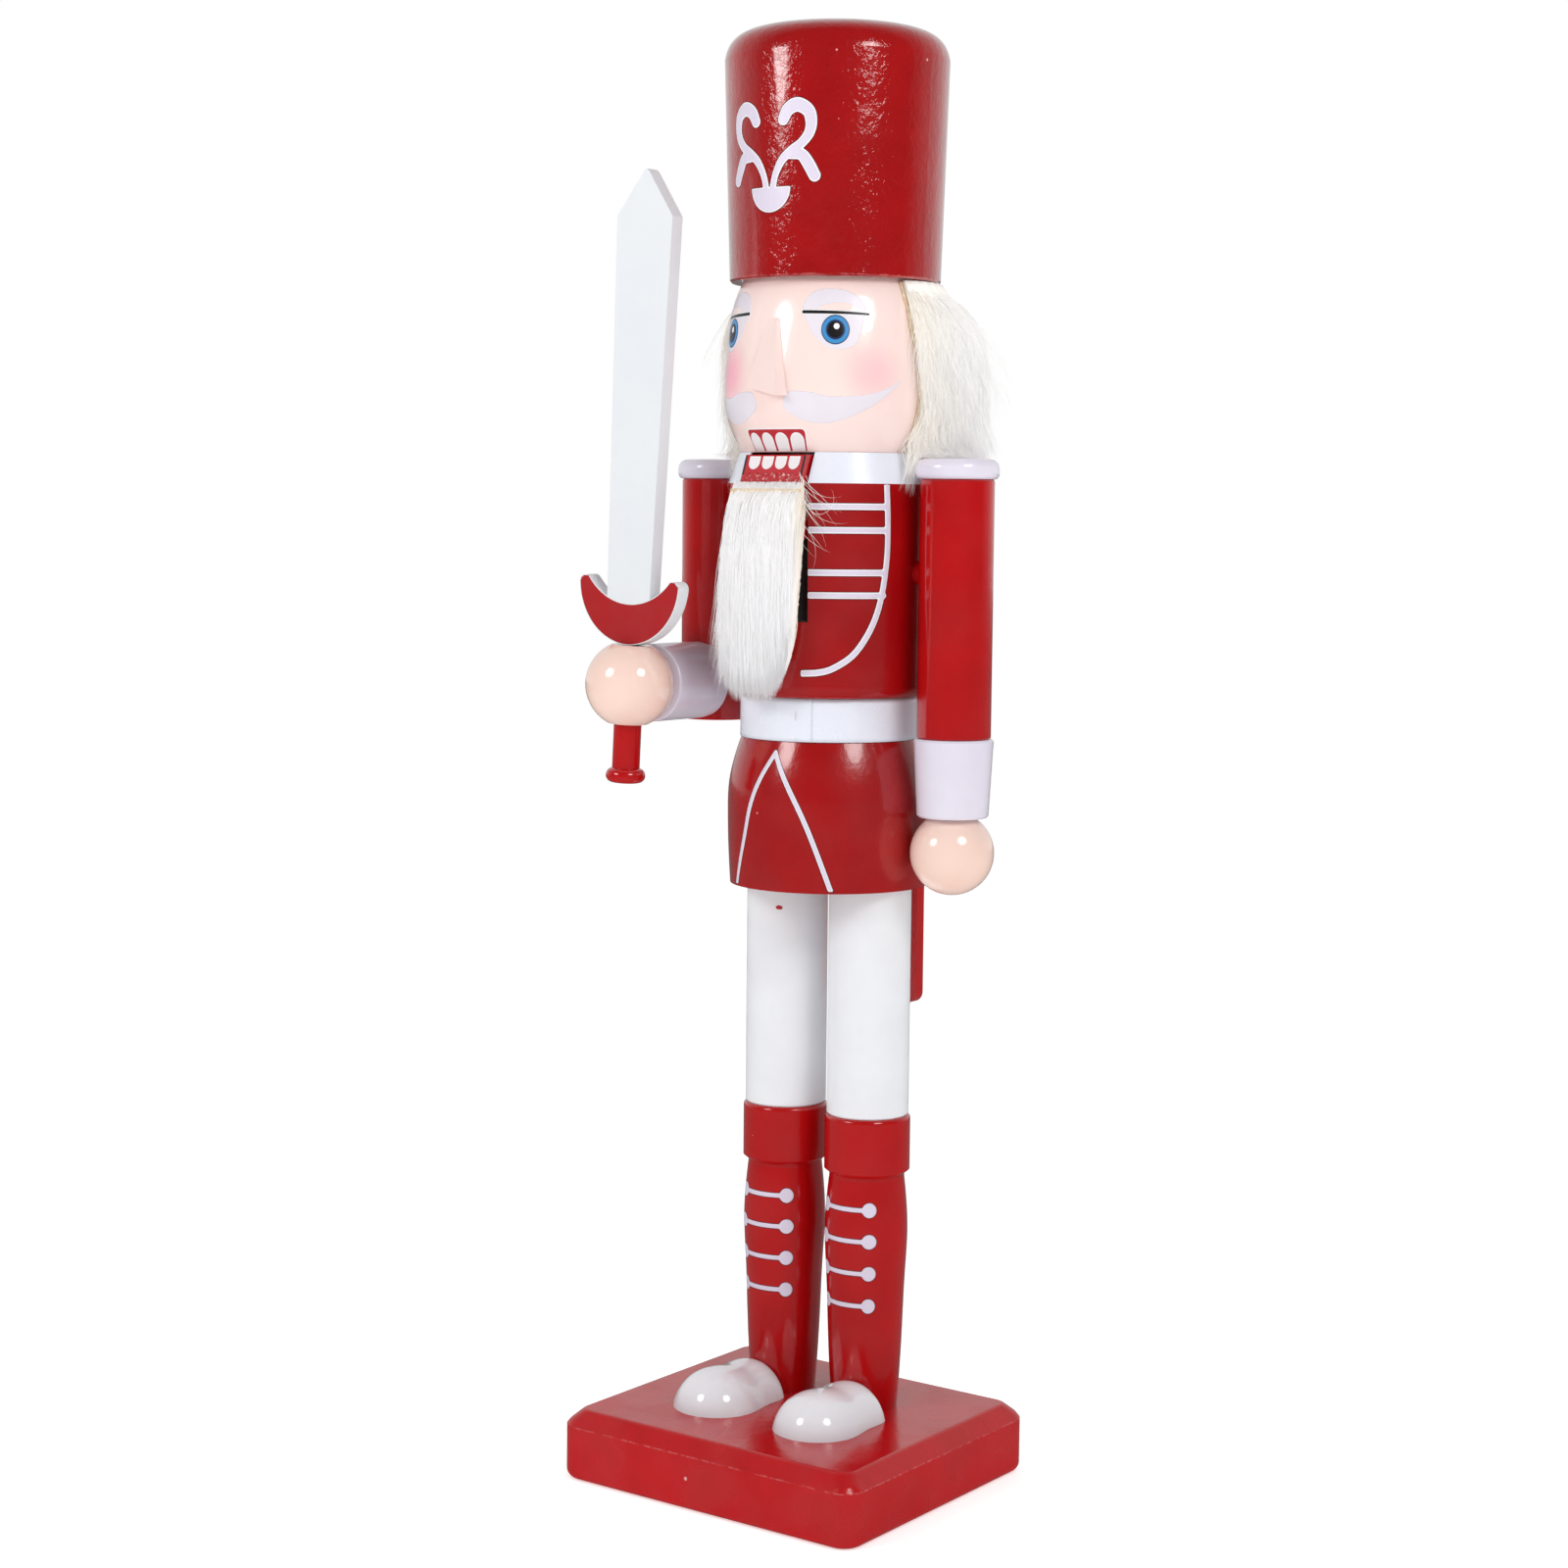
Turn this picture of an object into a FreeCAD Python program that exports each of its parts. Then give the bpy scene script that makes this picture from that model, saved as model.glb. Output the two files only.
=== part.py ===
"""Wooden nutcracker soldier: turned and sawn pieces, joined with dowels and glue.

Frame: millimetres, +Z up, origin at the centre of the plinth's underside. The figure faces -Y
and its left arm is on +X. Its own vertical axis stands BODY_SETBACK behind the plinth's centre.
Only the jaw lever moves: it turns about the pivot pin, which lies along X.
"""
import FreeCAD, Part
import math
import os

V = FreeCAD.Vector
UP = V(0, 0, 1)

# ---- plinth ----
PLINTH_WIDTH = 95.0
PLINTH_DEPTH = 83.6
PLINTH_HEIGHT = 18.6
BEVEL_INSET = 3.9
BEVEL_DROP = 4.0
PLINTH_CORNER_RADIUS = 6.0
PLINTH_FOOT_RADIUS = 2.6
TOP_EDGE_RADIUS = 1.6
BODY_SETBACK = 13.0

# ---- legs ----
CALF_RADIUS = 11.05
LEG_GAP = 4.9                  # between the two calves
BOOT_SOLE_RADIUS = 8.8
BOOT_NECK_RADIUS = 10.0        # groove under the boot cuff
BOOT_SHAFT_HEIGHT = 62.4
BOOT_CUFF_HEIGHT = 16.7
BOOT_CUFF_RADIUS = 11.4
ANKLE_LEVEL = 0.35             # share of the shaft's height at which the ankle ends
ANKLE_SWELL = 0.53             # share of the swell from sole to calf reached there
TROUSER_RADIUS = 10.9
TROUSER_LENGTH = 60.8
LEG_DOWEL_RADIUS = 4.0
LEG_DOWEL_LENGTH = 30.0

# ---- base screws ----
SCREW_RADIUS = 2.0
SCREW_HEAD_RADIUS = 4.0
SCREW_HEAD_DEPTH = 2.6
SCREW_LENGTH = 42.0
SCREW_RECESS = 1.0
SCREW_HOLE_CLEARANCE = 0.2
SCREW_DRIVE_WIDTH = 1.0
SCREW_DRIVE_DEPTH = 1.2

# ---- shoes ----
TOE_RADIUS = 11.9
INSTEP_RADIUS = 10.9
HEEL_RADIUS = 11.0
SHOE_LENGTH = 28.0
SHOE_SUNK_AXIS = 1.8           # the turned blank's axis lies this far under the plinth's top
SHOE_SPLAY = 3.0               # shoes stand this much further apart than the boots
SHOE_BOOT_GAP = 0.15

# ---- skirt, belt, chest ----
SKIRT_HEM_RADIUS = 26.3
SKIRT_RADIUS = 27.05
SKIRT_WAIST_RADIUS = 23.6
SKIRT_HEIGHT = 38.8
BELT_RADIUS = 23.9
BELT_HEIGHT = 11.2
BELT_THICKNESS = 0.6
BELT_PLAY = 0.2                # groove is this much taller than the belt, above and below
CHEST_FOOT_RADIUS = 25.3
CHEST_LOW_RADIUS = 26.9
CHEST_RADIUS = 27.5
CHEST_HEIGHT = 55.0
COLLAR_TOP_RADIUS = 24.6
COLLAR_HEIGHT = 7.9
COLLAR_THICKNESS = 0.6

# ---- jaw lever and its slot ----
LEVER_WIDTH = 19.2
SLOT_SIDE_CLEARANCE = 0.6
SLOT_DEPTH = 42.8
JAW_PROUD = 0.4                # jaw front stands this far in front of the chest
JAW_BAR_HEIGHT = 21.3
JAW_TOP_CLEARANCE = 0.7
HANDLE_CLEARANCE = 0.55
HANDLE_THICKNESS = 3.6
HANDLE_DROP = 148.3            # from the top of the bar to the handle's lower end
HANDLE_END_RADIUS = 3.0
HANDLE_INNER_RADIUS = 6.0
LEVER_SHOULDER_DROP = 9.3      # the bar's rear top corner slopes down by this
LEVER_SHOULDER_RUN = 21.2
PIVOT_SETBACK = 15.0           # pin axis behind the body axis
PIVOT_DROP = 16.0              # pin axis under the top of the chest block
PIN_RADIUS = 1.5
PIN_BORE_CLEARANCE = 0.05
PIN_RECESS = 0.8

# ---- head ----
HEAD_RADIUS = 28.8
HEAD_BASE_RADIUS = 23.9
HEAD_CROWN_RADIUS = 24.2
HEAD_HEIGHT = 44.2
NECK_DOWEL_RADIUS = 2.6
NECK_DOWEL_LENGTH = 18.0
NOSE_LENGTH = 18.6
NOSE_TOP_WIDTH = 3.6
NOSE_BASE_WIDTH = 10.6
NOSE_RISE = 2.8                # in front of the head's widest line
NOSE_TURN = -13.0              # the block is glued on slightly turned, in degrees
NOSE_END_SLOPE = 12.0
NOSE_TOP_BELOW_CROWN = 10.4

# ---- hat ----
HAT_BRIM_RADIUS = 27.6
HAT_TOP_RADIUS = 29.3
HAT_HEIGHT = 65.8
HAT_EDGE_DROP = 9.0
HAT_EDGE_RUN = 13.0
HAT_DOME = 1.5
HAT_DOWEL_RADIUS = 4.0
HAT_DOWEL_LENGTH = 20.0

# ---- hair and beard ----
HAIR_THICKNESS = 9.8
HAIR_FRONT_ANGLE = 84.0        # from straight ahead to the strip's front edge, in degrees
HAIR_NECK_GAP = 0.4
BEARD_LENGTH = 58.0
BEARD_THICKNESS = 6.8
BEARD_TOP_WIDTH = 19.0
BEARD_WIDTH = 27.0
BEARD_TIP_WIDTH = 14.0
BEARD_BELOW_TEETH = 7.2

# ---- arms ----
SLEEVE_RADIUS = 9.6
EPAULETTE_RADIUS = 10.75
EPAULETTE_THICKNESS = 5.2
EPAULETTE_BELOW_COLLAR = 1.4   # top of the disc under the top of the chest block
SHOULDER_GAP = 0.25
ARM_SETBACK = 0.5
LEFT_SLEEVE_LENGTH = 66.4
LEFT_CUFF_LENGTH = 20.3
CUFF_RADIUS = 10.35
CUFF_END_RADIUS = 9.3
LEFT_HAND_RADIUS = 10.9
LEFT_HAND_FLAT = 9.4           # from the ball's centre to its flat
RIGHT_SLEEVE_LENGTH = 64.9
FOREARM_RISE = 10.8            # forearm axis above the sleeve's lower end
FOREARM_LENGTH = 19.1
FOREARM_SEAT = 1.5             # pocket that seats the forearm cuff in the sleeve
RIGHT_HAND_RADIUS = 11.6
RIGHT_HAND_FLAT = 8.7
GRIP_FLAT_RADIUS = 5.2
SHOULDER_DOWEL_RADIUS = 3.0
SHOULDER_DOWEL_BITE = 8.0      # into the chest
SHOULDER_DOWEL_DROP = 24.0     # under the sleeve's top
WRIST_DOWEL_RADIUS = 2.5
WRIST_DOWEL_BITE = 8.0
WRIST_DOWEL_REACH = 2.8        # how far short of the hand's centre the dowel ends

# ---- sword ----
SWORD_TILT = 2.9               # degrees, towards the head
BOARD_THICKNESS = 4.2
BLADE_ROOT_WIDTH = 14.0
BLADE_TIP_WIDTH = 18.3
BLADE_LENGTH = 110.6           # from the guard's lowest point to the shoulders
BLADE_POINT_LENGTH = 12.0
GUARD_RADIUS = 16.7
GUARD_HOLLOW_RADIUS = 17.3
GUARD_WEB = 10.8               # board left between the guard's lowest point and its hollow
HORN_ROUND = 2.0
GRIP_RADIUS = 3.65
GRIP_HOLE_CLEARANCE = 0.05
GRIP_LENGTH = 11.8             # below the hand, down to the pommel
POMMEL_RADIUS = 5.2
POMMEL_HEIGHT = 3.8
TENON_RADIUS = 1.4
TENON_LENGTH = 7.0

# ---- levels and places worked out from the above ----
BODY_Y = BODY_SETBACK
LEG_X = CALF_RADIUS + LEG_GAP / 2
BOOT_FOOT = PLINTH_HEIGHT
BOOT_CUFF_FOOT = BOOT_FOOT + BOOT_SHAFT_HEIGHT
KNEE = BOOT_CUFF_FOOT + BOOT_CUFF_HEIGHT
HEM = KNEE + TROUSER_LENGTH
WAIST = HEM + SKIRT_HEIGHT
BELT_FOOT = WAIST + BELT_PLAY
BELT_TOP = BELT_FOOT + BELT_HEIGHT
CHEST_FOOT = BELT_TOP + BELT_PLAY
COLLAR_FOOT = CHEST_FOOT + CHEST_HEIGHT
CHEST_TOP = COLLAR_FOOT + COLLAR_HEIGHT
HEAD_TOP = CHEST_TOP + HEAD_HEIGHT
HAT_TOP = HEAD_TOP + HAT_HEIGHT
SLOT_HALF_WIDTH = LEVER_WIDTH / 2 + SLOT_SIDE_CLEARANCE
SLOT_FLOOR = CHEST_TOP - SLOT_DEPTH
PIVOT_Y = BODY_Y + PIVOT_SETBACK
PIVOT_Z = CHEST_TOP - PIVOT_DROP
BODY_RADIUS = max(CHEST_RADIUS, SKIRT_RADIUS)
JAW_FRONT_Y = BODY_Y - CHEST_RADIUS - JAW_PROUD
LEVER_TOP = CHEST_TOP - JAW_TOP_CLEARANCE
LEVER_BELLY = LEVER_TOP - JAW_BAR_HEIGHT
HANDLE_FRONT_Y = BODY_Y + BODY_RADIUS + HANDLE_CLEARANCE
ARM_REACH = max(EPAULETTE_RADIUS, CUFF_RADIUS, LEFT_HAND_RADIUS, SLEEVE_RADIUS)
ARM_X = BODY_RADIUS + SHOULDER_GAP + ARM_REACH
ARM_Y = BODY_Y + ARM_SETBACK
EPAULETTE_TOP = CHEST_TOP - EPAULETTE_BELOW_COLLAR
SLEEVE_TOP = EPAULETTE_TOP - EPAULETTE_THICKNESS
FOREARM_Z = SLEEVE_TOP - RIGHT_SLEEVE_LENGTH + FOREARM_RISE
FOREARM_BACK_Y = ARM_Y - SLEEVE_RADIUS + FOREARM_SEAT
FOREARM_FRONT_Y = FOREARM_BACK_Y - FOREARM_LENGTH - FOREARM_SEAT
RIGHT_HAND = V(-ARM_X, FOREARM_FRONT_Y - RIGHT_HAND_FLAT, FOREARM_Z)
GRIP_FLAT = math.sqrt(RIGHT_HAND_RADIUS ** 2 - GRIP_FLAT_RADIUS ** 2)


# ---- shop tools ----
def turned(stretches, x=0.0, y=BODY_Y):
    """Solid turned about the vertical axis at x, y. Each stretch of the outline is a list of
    (radius, height): two points are a line, three an arc, more a smooth curve."""
    edges = []
    for stretch in stretches:
        points = [V(x + radius, y, height) for radius, height in stretch]
        if len(points) == 2:
            edges.append(Part.LineSegment(points[0], points[1]).toShape())
        elif len(points) == 3:
            edges.append(Part.Arc(*points).toShape())
        else:
            curve = Part.BSplineCurve()
            curve.interpolate(points)
            edges.append(curve.toShape())
    first, last = stretches[0][0], stretches[-1][-1]
    corners = [V(x + last[0], y, last[1]), V(x, y, last[1]), V(x, y, first[1]),
               V(x + first[0], y, first[1])]
    for start, end in zip(corners, corners[1:]):
        if start.distanceToPoint(end) > 1e-6:
            edges.append(Part.LineSegment(start, end).toShape())
    face = Part.Face(Part.Wire(Part.__sortEdges__(edges)))
    return face.revolve(V(x, y, 0), UP, 360)


def rod(radius, start, end):
    """Round rod between two points."""
    axis = end.sub(start)
    return Part.makeCylinder(radius, axis.Length, start, axis)


def block(x0, x1, y0, y1, z0, z1):
    return Part.makeBox(x1 - x0, y1 - y0, z1 - z0, V(x0, y0, z0))


def plate(outline, thickness):
    """Flat board: a closed outline of edges in a plane, thickened along the vector."""
    face = Part.Face(Part.Wire(Part.__sortEdges__(outline)))
    return face.extrude(thickness)


def lines(points):
    """Closed chain of straight edges."""
    return [Part.LineSegment(a, b).toShape() for a, b in zip(points, points[1:] + points[:1])]


def eased(shape, radius, chosen):
    """Round the edges that the test chooses."""
    edges = [edge for edge in shape.Edges if chosen(edge)]
    return shape.makeFillet(radius, edges)


def at_height(height):
    """Test for edges that lie flat at one height."""
    def test(edge):
        return abs(edge.BoundBox.ZMin - height) < 1e-4 and abs(edge.BoundBox.ZMax - height) < 1e-4
    return test


def upright(edge):
    """Test for edges that run up, whether plumb or leaning."""
    return edge.BoundBox.ZLength > 1.0


def both_sides(make):
    """One compound of the pieces that make(side) gives for the left and the right."""
    return Part.makeCompound([make(1), make(-1)])


# ---- plinth, screws ----
def make_plinth():
    half_w, half_d = PLINTH_WIDTH / 2, PLINTH_DEPTH / 2
    plinth = block(-half_w, half_w, -half_d, half_d, 0, PLINTH_HEIGHT - BEVEL_DROP)
    rims = []
    for inset, height in ((0, PLINTH_HEIGHT - BEVEL_DROP), (BEVEL_INSET, PLINTH_HEIGHT)):
        corners = [V(-half_w + inset, -half_d + inset, height), V(half_w - inset, -half_d + inset, height),
                   V(half_w - inset, half_d - inset, height), V(-half_w + inset, half_d - inset, height)]
        rims.append(Part.makePolygon(corners + corners[:1]))
    plinth = plinth.fuse(Part.makeLoft(rims, True, True)).removeSplitter()
    plinth = eased(plinth, PLINTH_CORNER_RADIUS, upright)
    plinth = eased(plinth, PLINTH_FOOT_RADIUS, at_height(0))
    plinth = eased(plinth, TOP_EDGE_RADIUS, at_height(PLINTH_HEIGHT))
    for side in (1, -1):
        plinth = plinth.cut(screw_outline(side, SCREW_HOLE_CLEARANCE))
    return plinth


def screw_outline(side, clearance):
    """Countersunk screw, pointing up, or with clearance the hole for it."""
    r, head = SCREW_RADIUS + clearance, SCREW_HEAD_RADIUS + clearance
    foot = SCREW_RECESS - (SCREW_RECESS if clearance else 0)
    seat = SCREW_RECESS
    outline = [[(head, foot), (head, seat + 0.3)], [(head, seat + 0.3), (r, seat + SCREW_HEAD_DEPTH)],
               [(r, seat + SCREW_HEAD_DEPTH), (r, SCREW_RECESS + SCREW_LENGTH - 3 * r)],
               [(r, SCREW_RECESS + SCREW_LENGTH - 3 * r), (0.3, SCREW_RECESS + SCREW_LENGTH)]]
    return turned(outline, side * LEG_X)


def make_screw(side):
    screw = screw_outline(side, 0)
    reach, half = SCREW_HEAD_RADIUS * 0.6, SCREW_DRIVE_WIDTH / 2
    for x, y in ((reach, half), (half, reach)):
        drive = block(side * LEG_X - x, side * LEG_X + x, BODY_Y - y, BODY_Y + y,
                      SCREW_RECESS - 1, SCREW_RECESS + SCREW_DRIVE_DEPTH)
        screw = screw.cut(drive)
    return screw


# ---- legs ----
def leg_dowel(side, level):
    half = LEG_DOWEL_LENGTH / 2
    x = side * LEG_X
    return rod(LEG_DOWEL_RADIUS, V(x, BODY_Y, level - half), V(x, BODY_Y, level + half))


def make_boot(side):
    foot, shaft = BOOT_FOOT, BOOT_SHAFT_HEIGHT
    sole, calf, neck, cuff = BOOT_SOLE_RADIUS, CALF_RADIUS, BOOT_NECK_RADIUS, BOOT_CUFF_RADIUS
    swell = calf - sole
    side_curve = [(sole, foot), (sole + ANKLE_SWELL * swell, foot + ANKLE_LEVEL * shaft),
                  (sole + 0.76 * swell, foot + 0.57 * shaft), (calf, foot + 0.78 * shaft),
                  (neck + 0.62 * (calf - neck), foot + 0.9 * shaft), (neck, foot + shaft)]
    lip = 1.1
    outline = [side_curve, [(neck, foot + shaft), (neck, foot + shaft + 0.9)],
               [(neck, foot + shaft + 0.9), (cuff, foot + shaft + 0.9 + lip)],
               [(cuff, foot + shaft + 0.9 + lip), (cuff, KNEE - lip)],
               [(cuff, KNEE - lip), (cuff - 0.3 * lip, KNEE - 0.3 * lip), (cuff - lip, KNEE)]]
    boot = turned(outline, side * LEG_X)
    return boot.cut(leg_dowel(side, KNEE)).cut(screw_outline(side, 0))


def make_trouser_leg(side):
    lip = 0.5
    r = TROUSER_RADIUS
    outline = [[(r - lip, KNEE), (r, KNEE + lip)], [(r, KNEE + lip), (r, HEM)]]
    leg = turned(outline, side * LEG_X)
    return leg.cut(leg_dowel(side, KNEE)).cut(leg_dowel(side, HEM))


def make_shoe(side):
    """Turned bulb with a waist, sawn lengthwise and glued flat to the plinth."""
    height = max(TOE_RADIUS, HEEL_RADIUS) - SHOE_SUNK_AXIS
    swell = ANKLE_SWELL * (CALF_RADIUS - BOOT_SOLE_RADIUS)
    ankle_swell = swell * height / (ANKLE_LEVEL * BOOT_SHAFT_HEIGHT)
    back = BODY_Y - BOOT_SOLE_RADIUS - ankle_swell - SHOE_BOOT_GAP
    toe = back - SHOE_LENGTH
    centre = toe + TOE_RADIUS
    waist, heel = centre + 0.52 * (back - centre), centre + 0.86 * (back - centre)
    axis_z = PLINTH_HEIGHT - SHOE_SUNK_AXIS
    diagonal = TOE_RADIUS * math.sqrt(0.5)
    nose = [V(0, toe, axis_z), V(0, centre - diagonal, axis_z + diagonal),
            V(0, centre, axis_z + TOE_RADIUS)]
    instep = Part.BSplineCurve()
    instep.interpolate([V(0, centre, axis_z + TOE_RADIUS), V(0, waist, axis_z + INSTEP_RADIUS),
                        V(0, heel, axis_z + HEEL_RADIUS), V(0, back, axis_z + HEEL_RADIUS - 0.5)],
                       InitialTangent=V(0, 1, 0), FinalTangent=V(0, 1, -0.5))
    edges = [Part.Arc(*nose).toShape(), instep.toShape(),
             Part.LineSegment(V(0, back, axis_z + HEEL_RADIUS - 0.5), V(0, back, axis_z)).toShape(),
             Part.LineSegment(V(0, back, axis_z), V(0, toe, axis_z)).toShape()]
    bulb = Part.Face(Part.Wire(edges)).revolve(V(0, 0, axis_z), V(0, 1, 0), 360)
    reach = 2 * TOE_RADIUS
    bulb = bulb.common(block(-reach, reach, toe - 1, back + 1, PLINTH_HEIGHT, PLINTH_HEIGHT + reach))
    bulb.translate(V(side * (LEG_X + SHOE_SPLAY), 0, 0))
    return bulb


# ---- torso ----
def pin_axis_half():
    """Half the pin's length: to just under the chest's surface beside the pivot."""
    return math.sqrt(CHEST_LOW_RADIUS ** 2 - PIVOT_SETBACK ** 2) - PIN_RECESS


def make_pin():
    half = pin_axis_half()
    return rod(PIN_RADIUS, V(-half, PIVOT_Y, PIVOT_Z), V(half, PIVOT_Y, PIVOT_Z))


def neck_dowel(side):
    x = (SLOT_HALF_WIDTH + COLLAR_TOP_RADIUS - COLLAR_THICKNESS) / 2 * side
    half = NECK_DOWEL_LENGTH / 2
    return rod(NECK_DOWEL_RADIUS, V(x, BODY_Y, CHEST_TOP - half), V(x, BODY_Y, CHEST_TOP + half))


def shoulder_dowel(side):
    z = SLEEVE_TOP - SHOULDER_DOWEL_DROP
    return rod(SHOULDER_DOWEL_RADIUS, V(side * (CHEST_LOW_RADIUS - SHOULDER_DOWEL_BITE), ARM_Y, z),
               V(side * ARM_X, ARM_Y, z))


def slot_block():
    reach = BODY_RADIUS + 5
    half = SLOT_HALF_WIDTH
    return block(-half, half, BODY_Y - reach, BODY_Y + reach, SLOT_FLOOR, CHEST_TOP + 5)


def make_torso():
    hem, top = SKIRT_HEM_RADIUS, SKIRT_RADIUS
    h = SKIRT_HEIGHT
    groove = BELT_RADIUS - BELT_THICKNESS
    skirt = [(hem, HEM), (hem + 0.6 * (top - hem), HEM + 0.2 * h), (top, HEM + 0.48 * h),
             (top - 0.35, HEM + 0.7 * h), (top - 0.4 * (top - SKIRT_WAIST_RADIUS), HEM + 0.83 * h),
             (SKIRT_WAIST_RADIUS, WAIST)]
    low = [(CHEST_FOOT_RADIUS, CHEST_FOOT), (CHEST_LOW_RADIUS - 0.5, CHEST_FOOT + 1.2),
           (CHEST_LOW_RADIUS, CHEST_FOOT + 3.6)]
    collar_seat = (CHEST_RADIUS - COLLAR_THICKNESS, COLLAR_FOOT)
    outline = [skirt, [(SKIRT_WAIST_RADIUS, WAIST), (groove, WAIST)],
               [(groove, WAIST), (groove, CHEST_FOOT)], [(groove, CHEST_FOOT), low[0]], low,
               [low[-1], (CHEST_RADIUS, COLLAR_FOOT)], [(CHEST_RADIUS, COLLAR_FOOT), collar_seat],
               [collar_seat, (COLLAR_TOP_RADIUS - COLLAR_THICKNESS, CHEST_TOP)]]
    torso = turned(outline).cut(slot_block())
    half = pin_axis_half()
    drilling = rod(PIN_RADIUS, V(-half, PIVOT_Y, PIVOT_Z), V(CHEST_RADIUS + 5, PIVOT_Y, PIVOT_Z))
    torso = torso.cut(drilling)
    for side in (1, -1):
        torso = torso.cut(leg_dowel(side, HEM)).cut(neck_dowel(side)).cut(shoulder_dowel(side))
    return torso


def make_belt():
    outer = Part.makeCylinder(BELT_RADIUS, BELT_HEIGHT, V(0, BODY_Y, BELT_FOOT))
    inner = Part.makeCylinder(BELT_RADIUS - BELT_THICKNESS, BELT_HEIGHT, V(0, BODY_Y, BELT_FOOT))
    return outer.cut(inner)


def make_collar():
    def cone(outset):
        return Part.makeCone(CHEST_RADIUS + outset, COLLAR_TOP_RADIUS + outset, COLLAR_HEIGHT,
                             V(0, BODY_Y, COLLAR_FOOT))
    return cone(0).cut(cone(-COLLAR_THICKNESS)).cut(slot_block())


# ---- jaw lever, beard ----
def make_lever():
    """Jaw, bar and handle in one board: the jaw's front follows the collar, the rear corner is
    sloped to pass under the head, and the handle hangs behind the skirt."""
    handle_back = HANDLE_FRONT_Y + HANDLE_THICKNESS
    handle_foot = LEVER_TOP - HANDLE_DROP
    collar_slope = (CHEST_RADIUS - COLLAR_TOP_RADIUS) / COLLAR_HEIGHT
    jaw_bevel = COLLAR_HEIGHT - JAW_TOP_CLEARANCE
    side = [(JAW_FRONT_Y, LEVER_BELLY), (JAW_FRONT_Y, COLLAR_FOOT),
            (JAW_FRONT_Y + collar_slope * jaw_bevel, LEVER_TOP),
            (handle_back - LEVER_SHOULDER_RUN, LEVER_TOP),
            (handle_back, LEVER_TOP - LEVER_SHOULDER_DROP), (handle_back, handle_foot),
            (HANDLE_FRONT_Y, handle_foot), (HANDLE_FRONT_Y, LEVER_BELLY)]
    half = LEVER_WIDTH / 2
    lever = plate(lines([V(-half, y, z) for y, z in side]), V(LEVER_WIDTH, 0, 0))
    lever = eased(lever, HANDLE_INNER_RADIUS, lambda e: is_cross_edge(e, HANDLE_FRONT_Y, LEVER_BELLY))
    lever = eased(lever, HANDLE_END_RADIUS, lambda e: e.BoundBox.YLength > HANDLE_THICKNESS * 0.9
                  and at_height(handle_foot)(e))
    bore = rod(PIN_RADIUS + PIN_BORE_CLEARANCE, V(-half, PIVOT_Y, PIVOT_Z), V(half, PIVOT_Y, PIVOT_Z))
    return lever.cut(bore)


def is_cross_edge(edge, y, z):
    """Whether an edge runs along X at the given y and z."""
    box = edge.BoundBox
    off_line = max(abs(box.YMin - y), abs(box.YMax - y), abs(box.ZMin - z), abs(box.ZMax - z))
    return box.XLength > 1 and off_line < 1e-3


def make_beard():
    """Outer shape of the fur strip that hangs from the jaw's front face."""
    top = COLLAR_FOOT + COLLAR_HEIGHT - BEARD_BELOW_TEETH
    stations = ((0.0, BEARD_TOP_WIDTH, 0.45), (0.3, BEARD_WIDTH, 1.0), (0.7, BEARD_WIDTH, 1.0),
                (1.0, BEARD_TIP_WIDTH, 0.5))
    sections = []
    for share, width, fullness in stations:
        z, half = top - share * BEARD_LENGTH, width / 2
        depth = BEARD_THICKNESS * fullness
        front, cheek = JAW_FRONT_Y - depth, JAW_FRONT_Y - 0.35 * depth
        edges = [Part.LineSegment(V(-half, JAW_FRONT_Y, z), V(half, JAW_FRONT_Y, z)).toShape(),
                 Part.LineSegment(V(half, JAW_FRONT_Y, z), V(half, cheek, z)).toShape(),
                 Part.Arc(V(half, cheek, z), V(0, front, z), V(-half, cheek, z)).toShape(),
                 Part.LineSegment(V(-half, cheek, z), V(-half, JAW_FRONT_Y, z)).toShape()]
        sections.append(Part.Wire(edges))
    return Part.makeLoft(sections, True, True)


# ---- head, hat, hair ----
def head_blank():
    z, h = CHEST_TOP, HEAD_HEIGHT
    base, widest, crown = HEAD_BASE_RADIUS, HEAD_RADIUS, HEAD_CROWN_RADIUS
    outline = [[(base, z), (base + 0.52 * (widest - base), z + 0.11 * h),
                (base + 0.87 * (widest - base), z + 0.22 * h), (widest, z + 0.39 * h),
                (crown + 0.87 * (widest - crown), z + 0.6 * h),
                (crown + 0.6 * (widest - crown), z + 0.82 * h), (crown, z + h)]]
    return turned(outline)


def hat_dowel():
    half = HAT_DOWEL_LENGTH / 2
    return rod(HAT_DOWEL_RADIUS, V(0, BODY_Y, HEAD_TOP - half), V(0, BODY_Y, HEAD_TOP + half))


def make_head():
    head = head_blank().cut(hat_dowel())
    for side in (1, -1):
        head = head.cut(neck_dowel(side))
    return head


def make_nose():
    """Wedge block, narrow and flush at the top, standing proud at its lower end."""
    top = HEAD_TOP - NOSE_TOP_BELOW_CROWN
    foot = top - NOSE_LENGTH
    inside = HEAD_RADIUS * 0.72
    faces = []
    ends = ((top, NOSE_TOP_WIDTH, HEAD_RADIUS - 1.2), (foot, NOSE_BASE_WIDTH, HEAD_RADIUS + NOSE_RISE))
    for z, width, front in ends:
        slope = math.tan(math.radians(NOSE_END_SLOPE)) * width / 2 if z == foot else 0
        half = width / 2
        corners = [V(-half, -inside, z + slope), V(half, -inside, z - slope),
                   V(half, -front, z - slope), V(-half, -front, z + slope)]
        faces.append(Part.makePolygon(corners + corners[:1]))
    wedge = Part.makeLoft(faces, True, True)
    wedge.rotate(V(0, -HEAD_RADIUS, 0), UP, NOSE_TURN)
    wedge.translate(V(0, BODY_Y, 0))
    return wedge.cut(head_blank())


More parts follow.
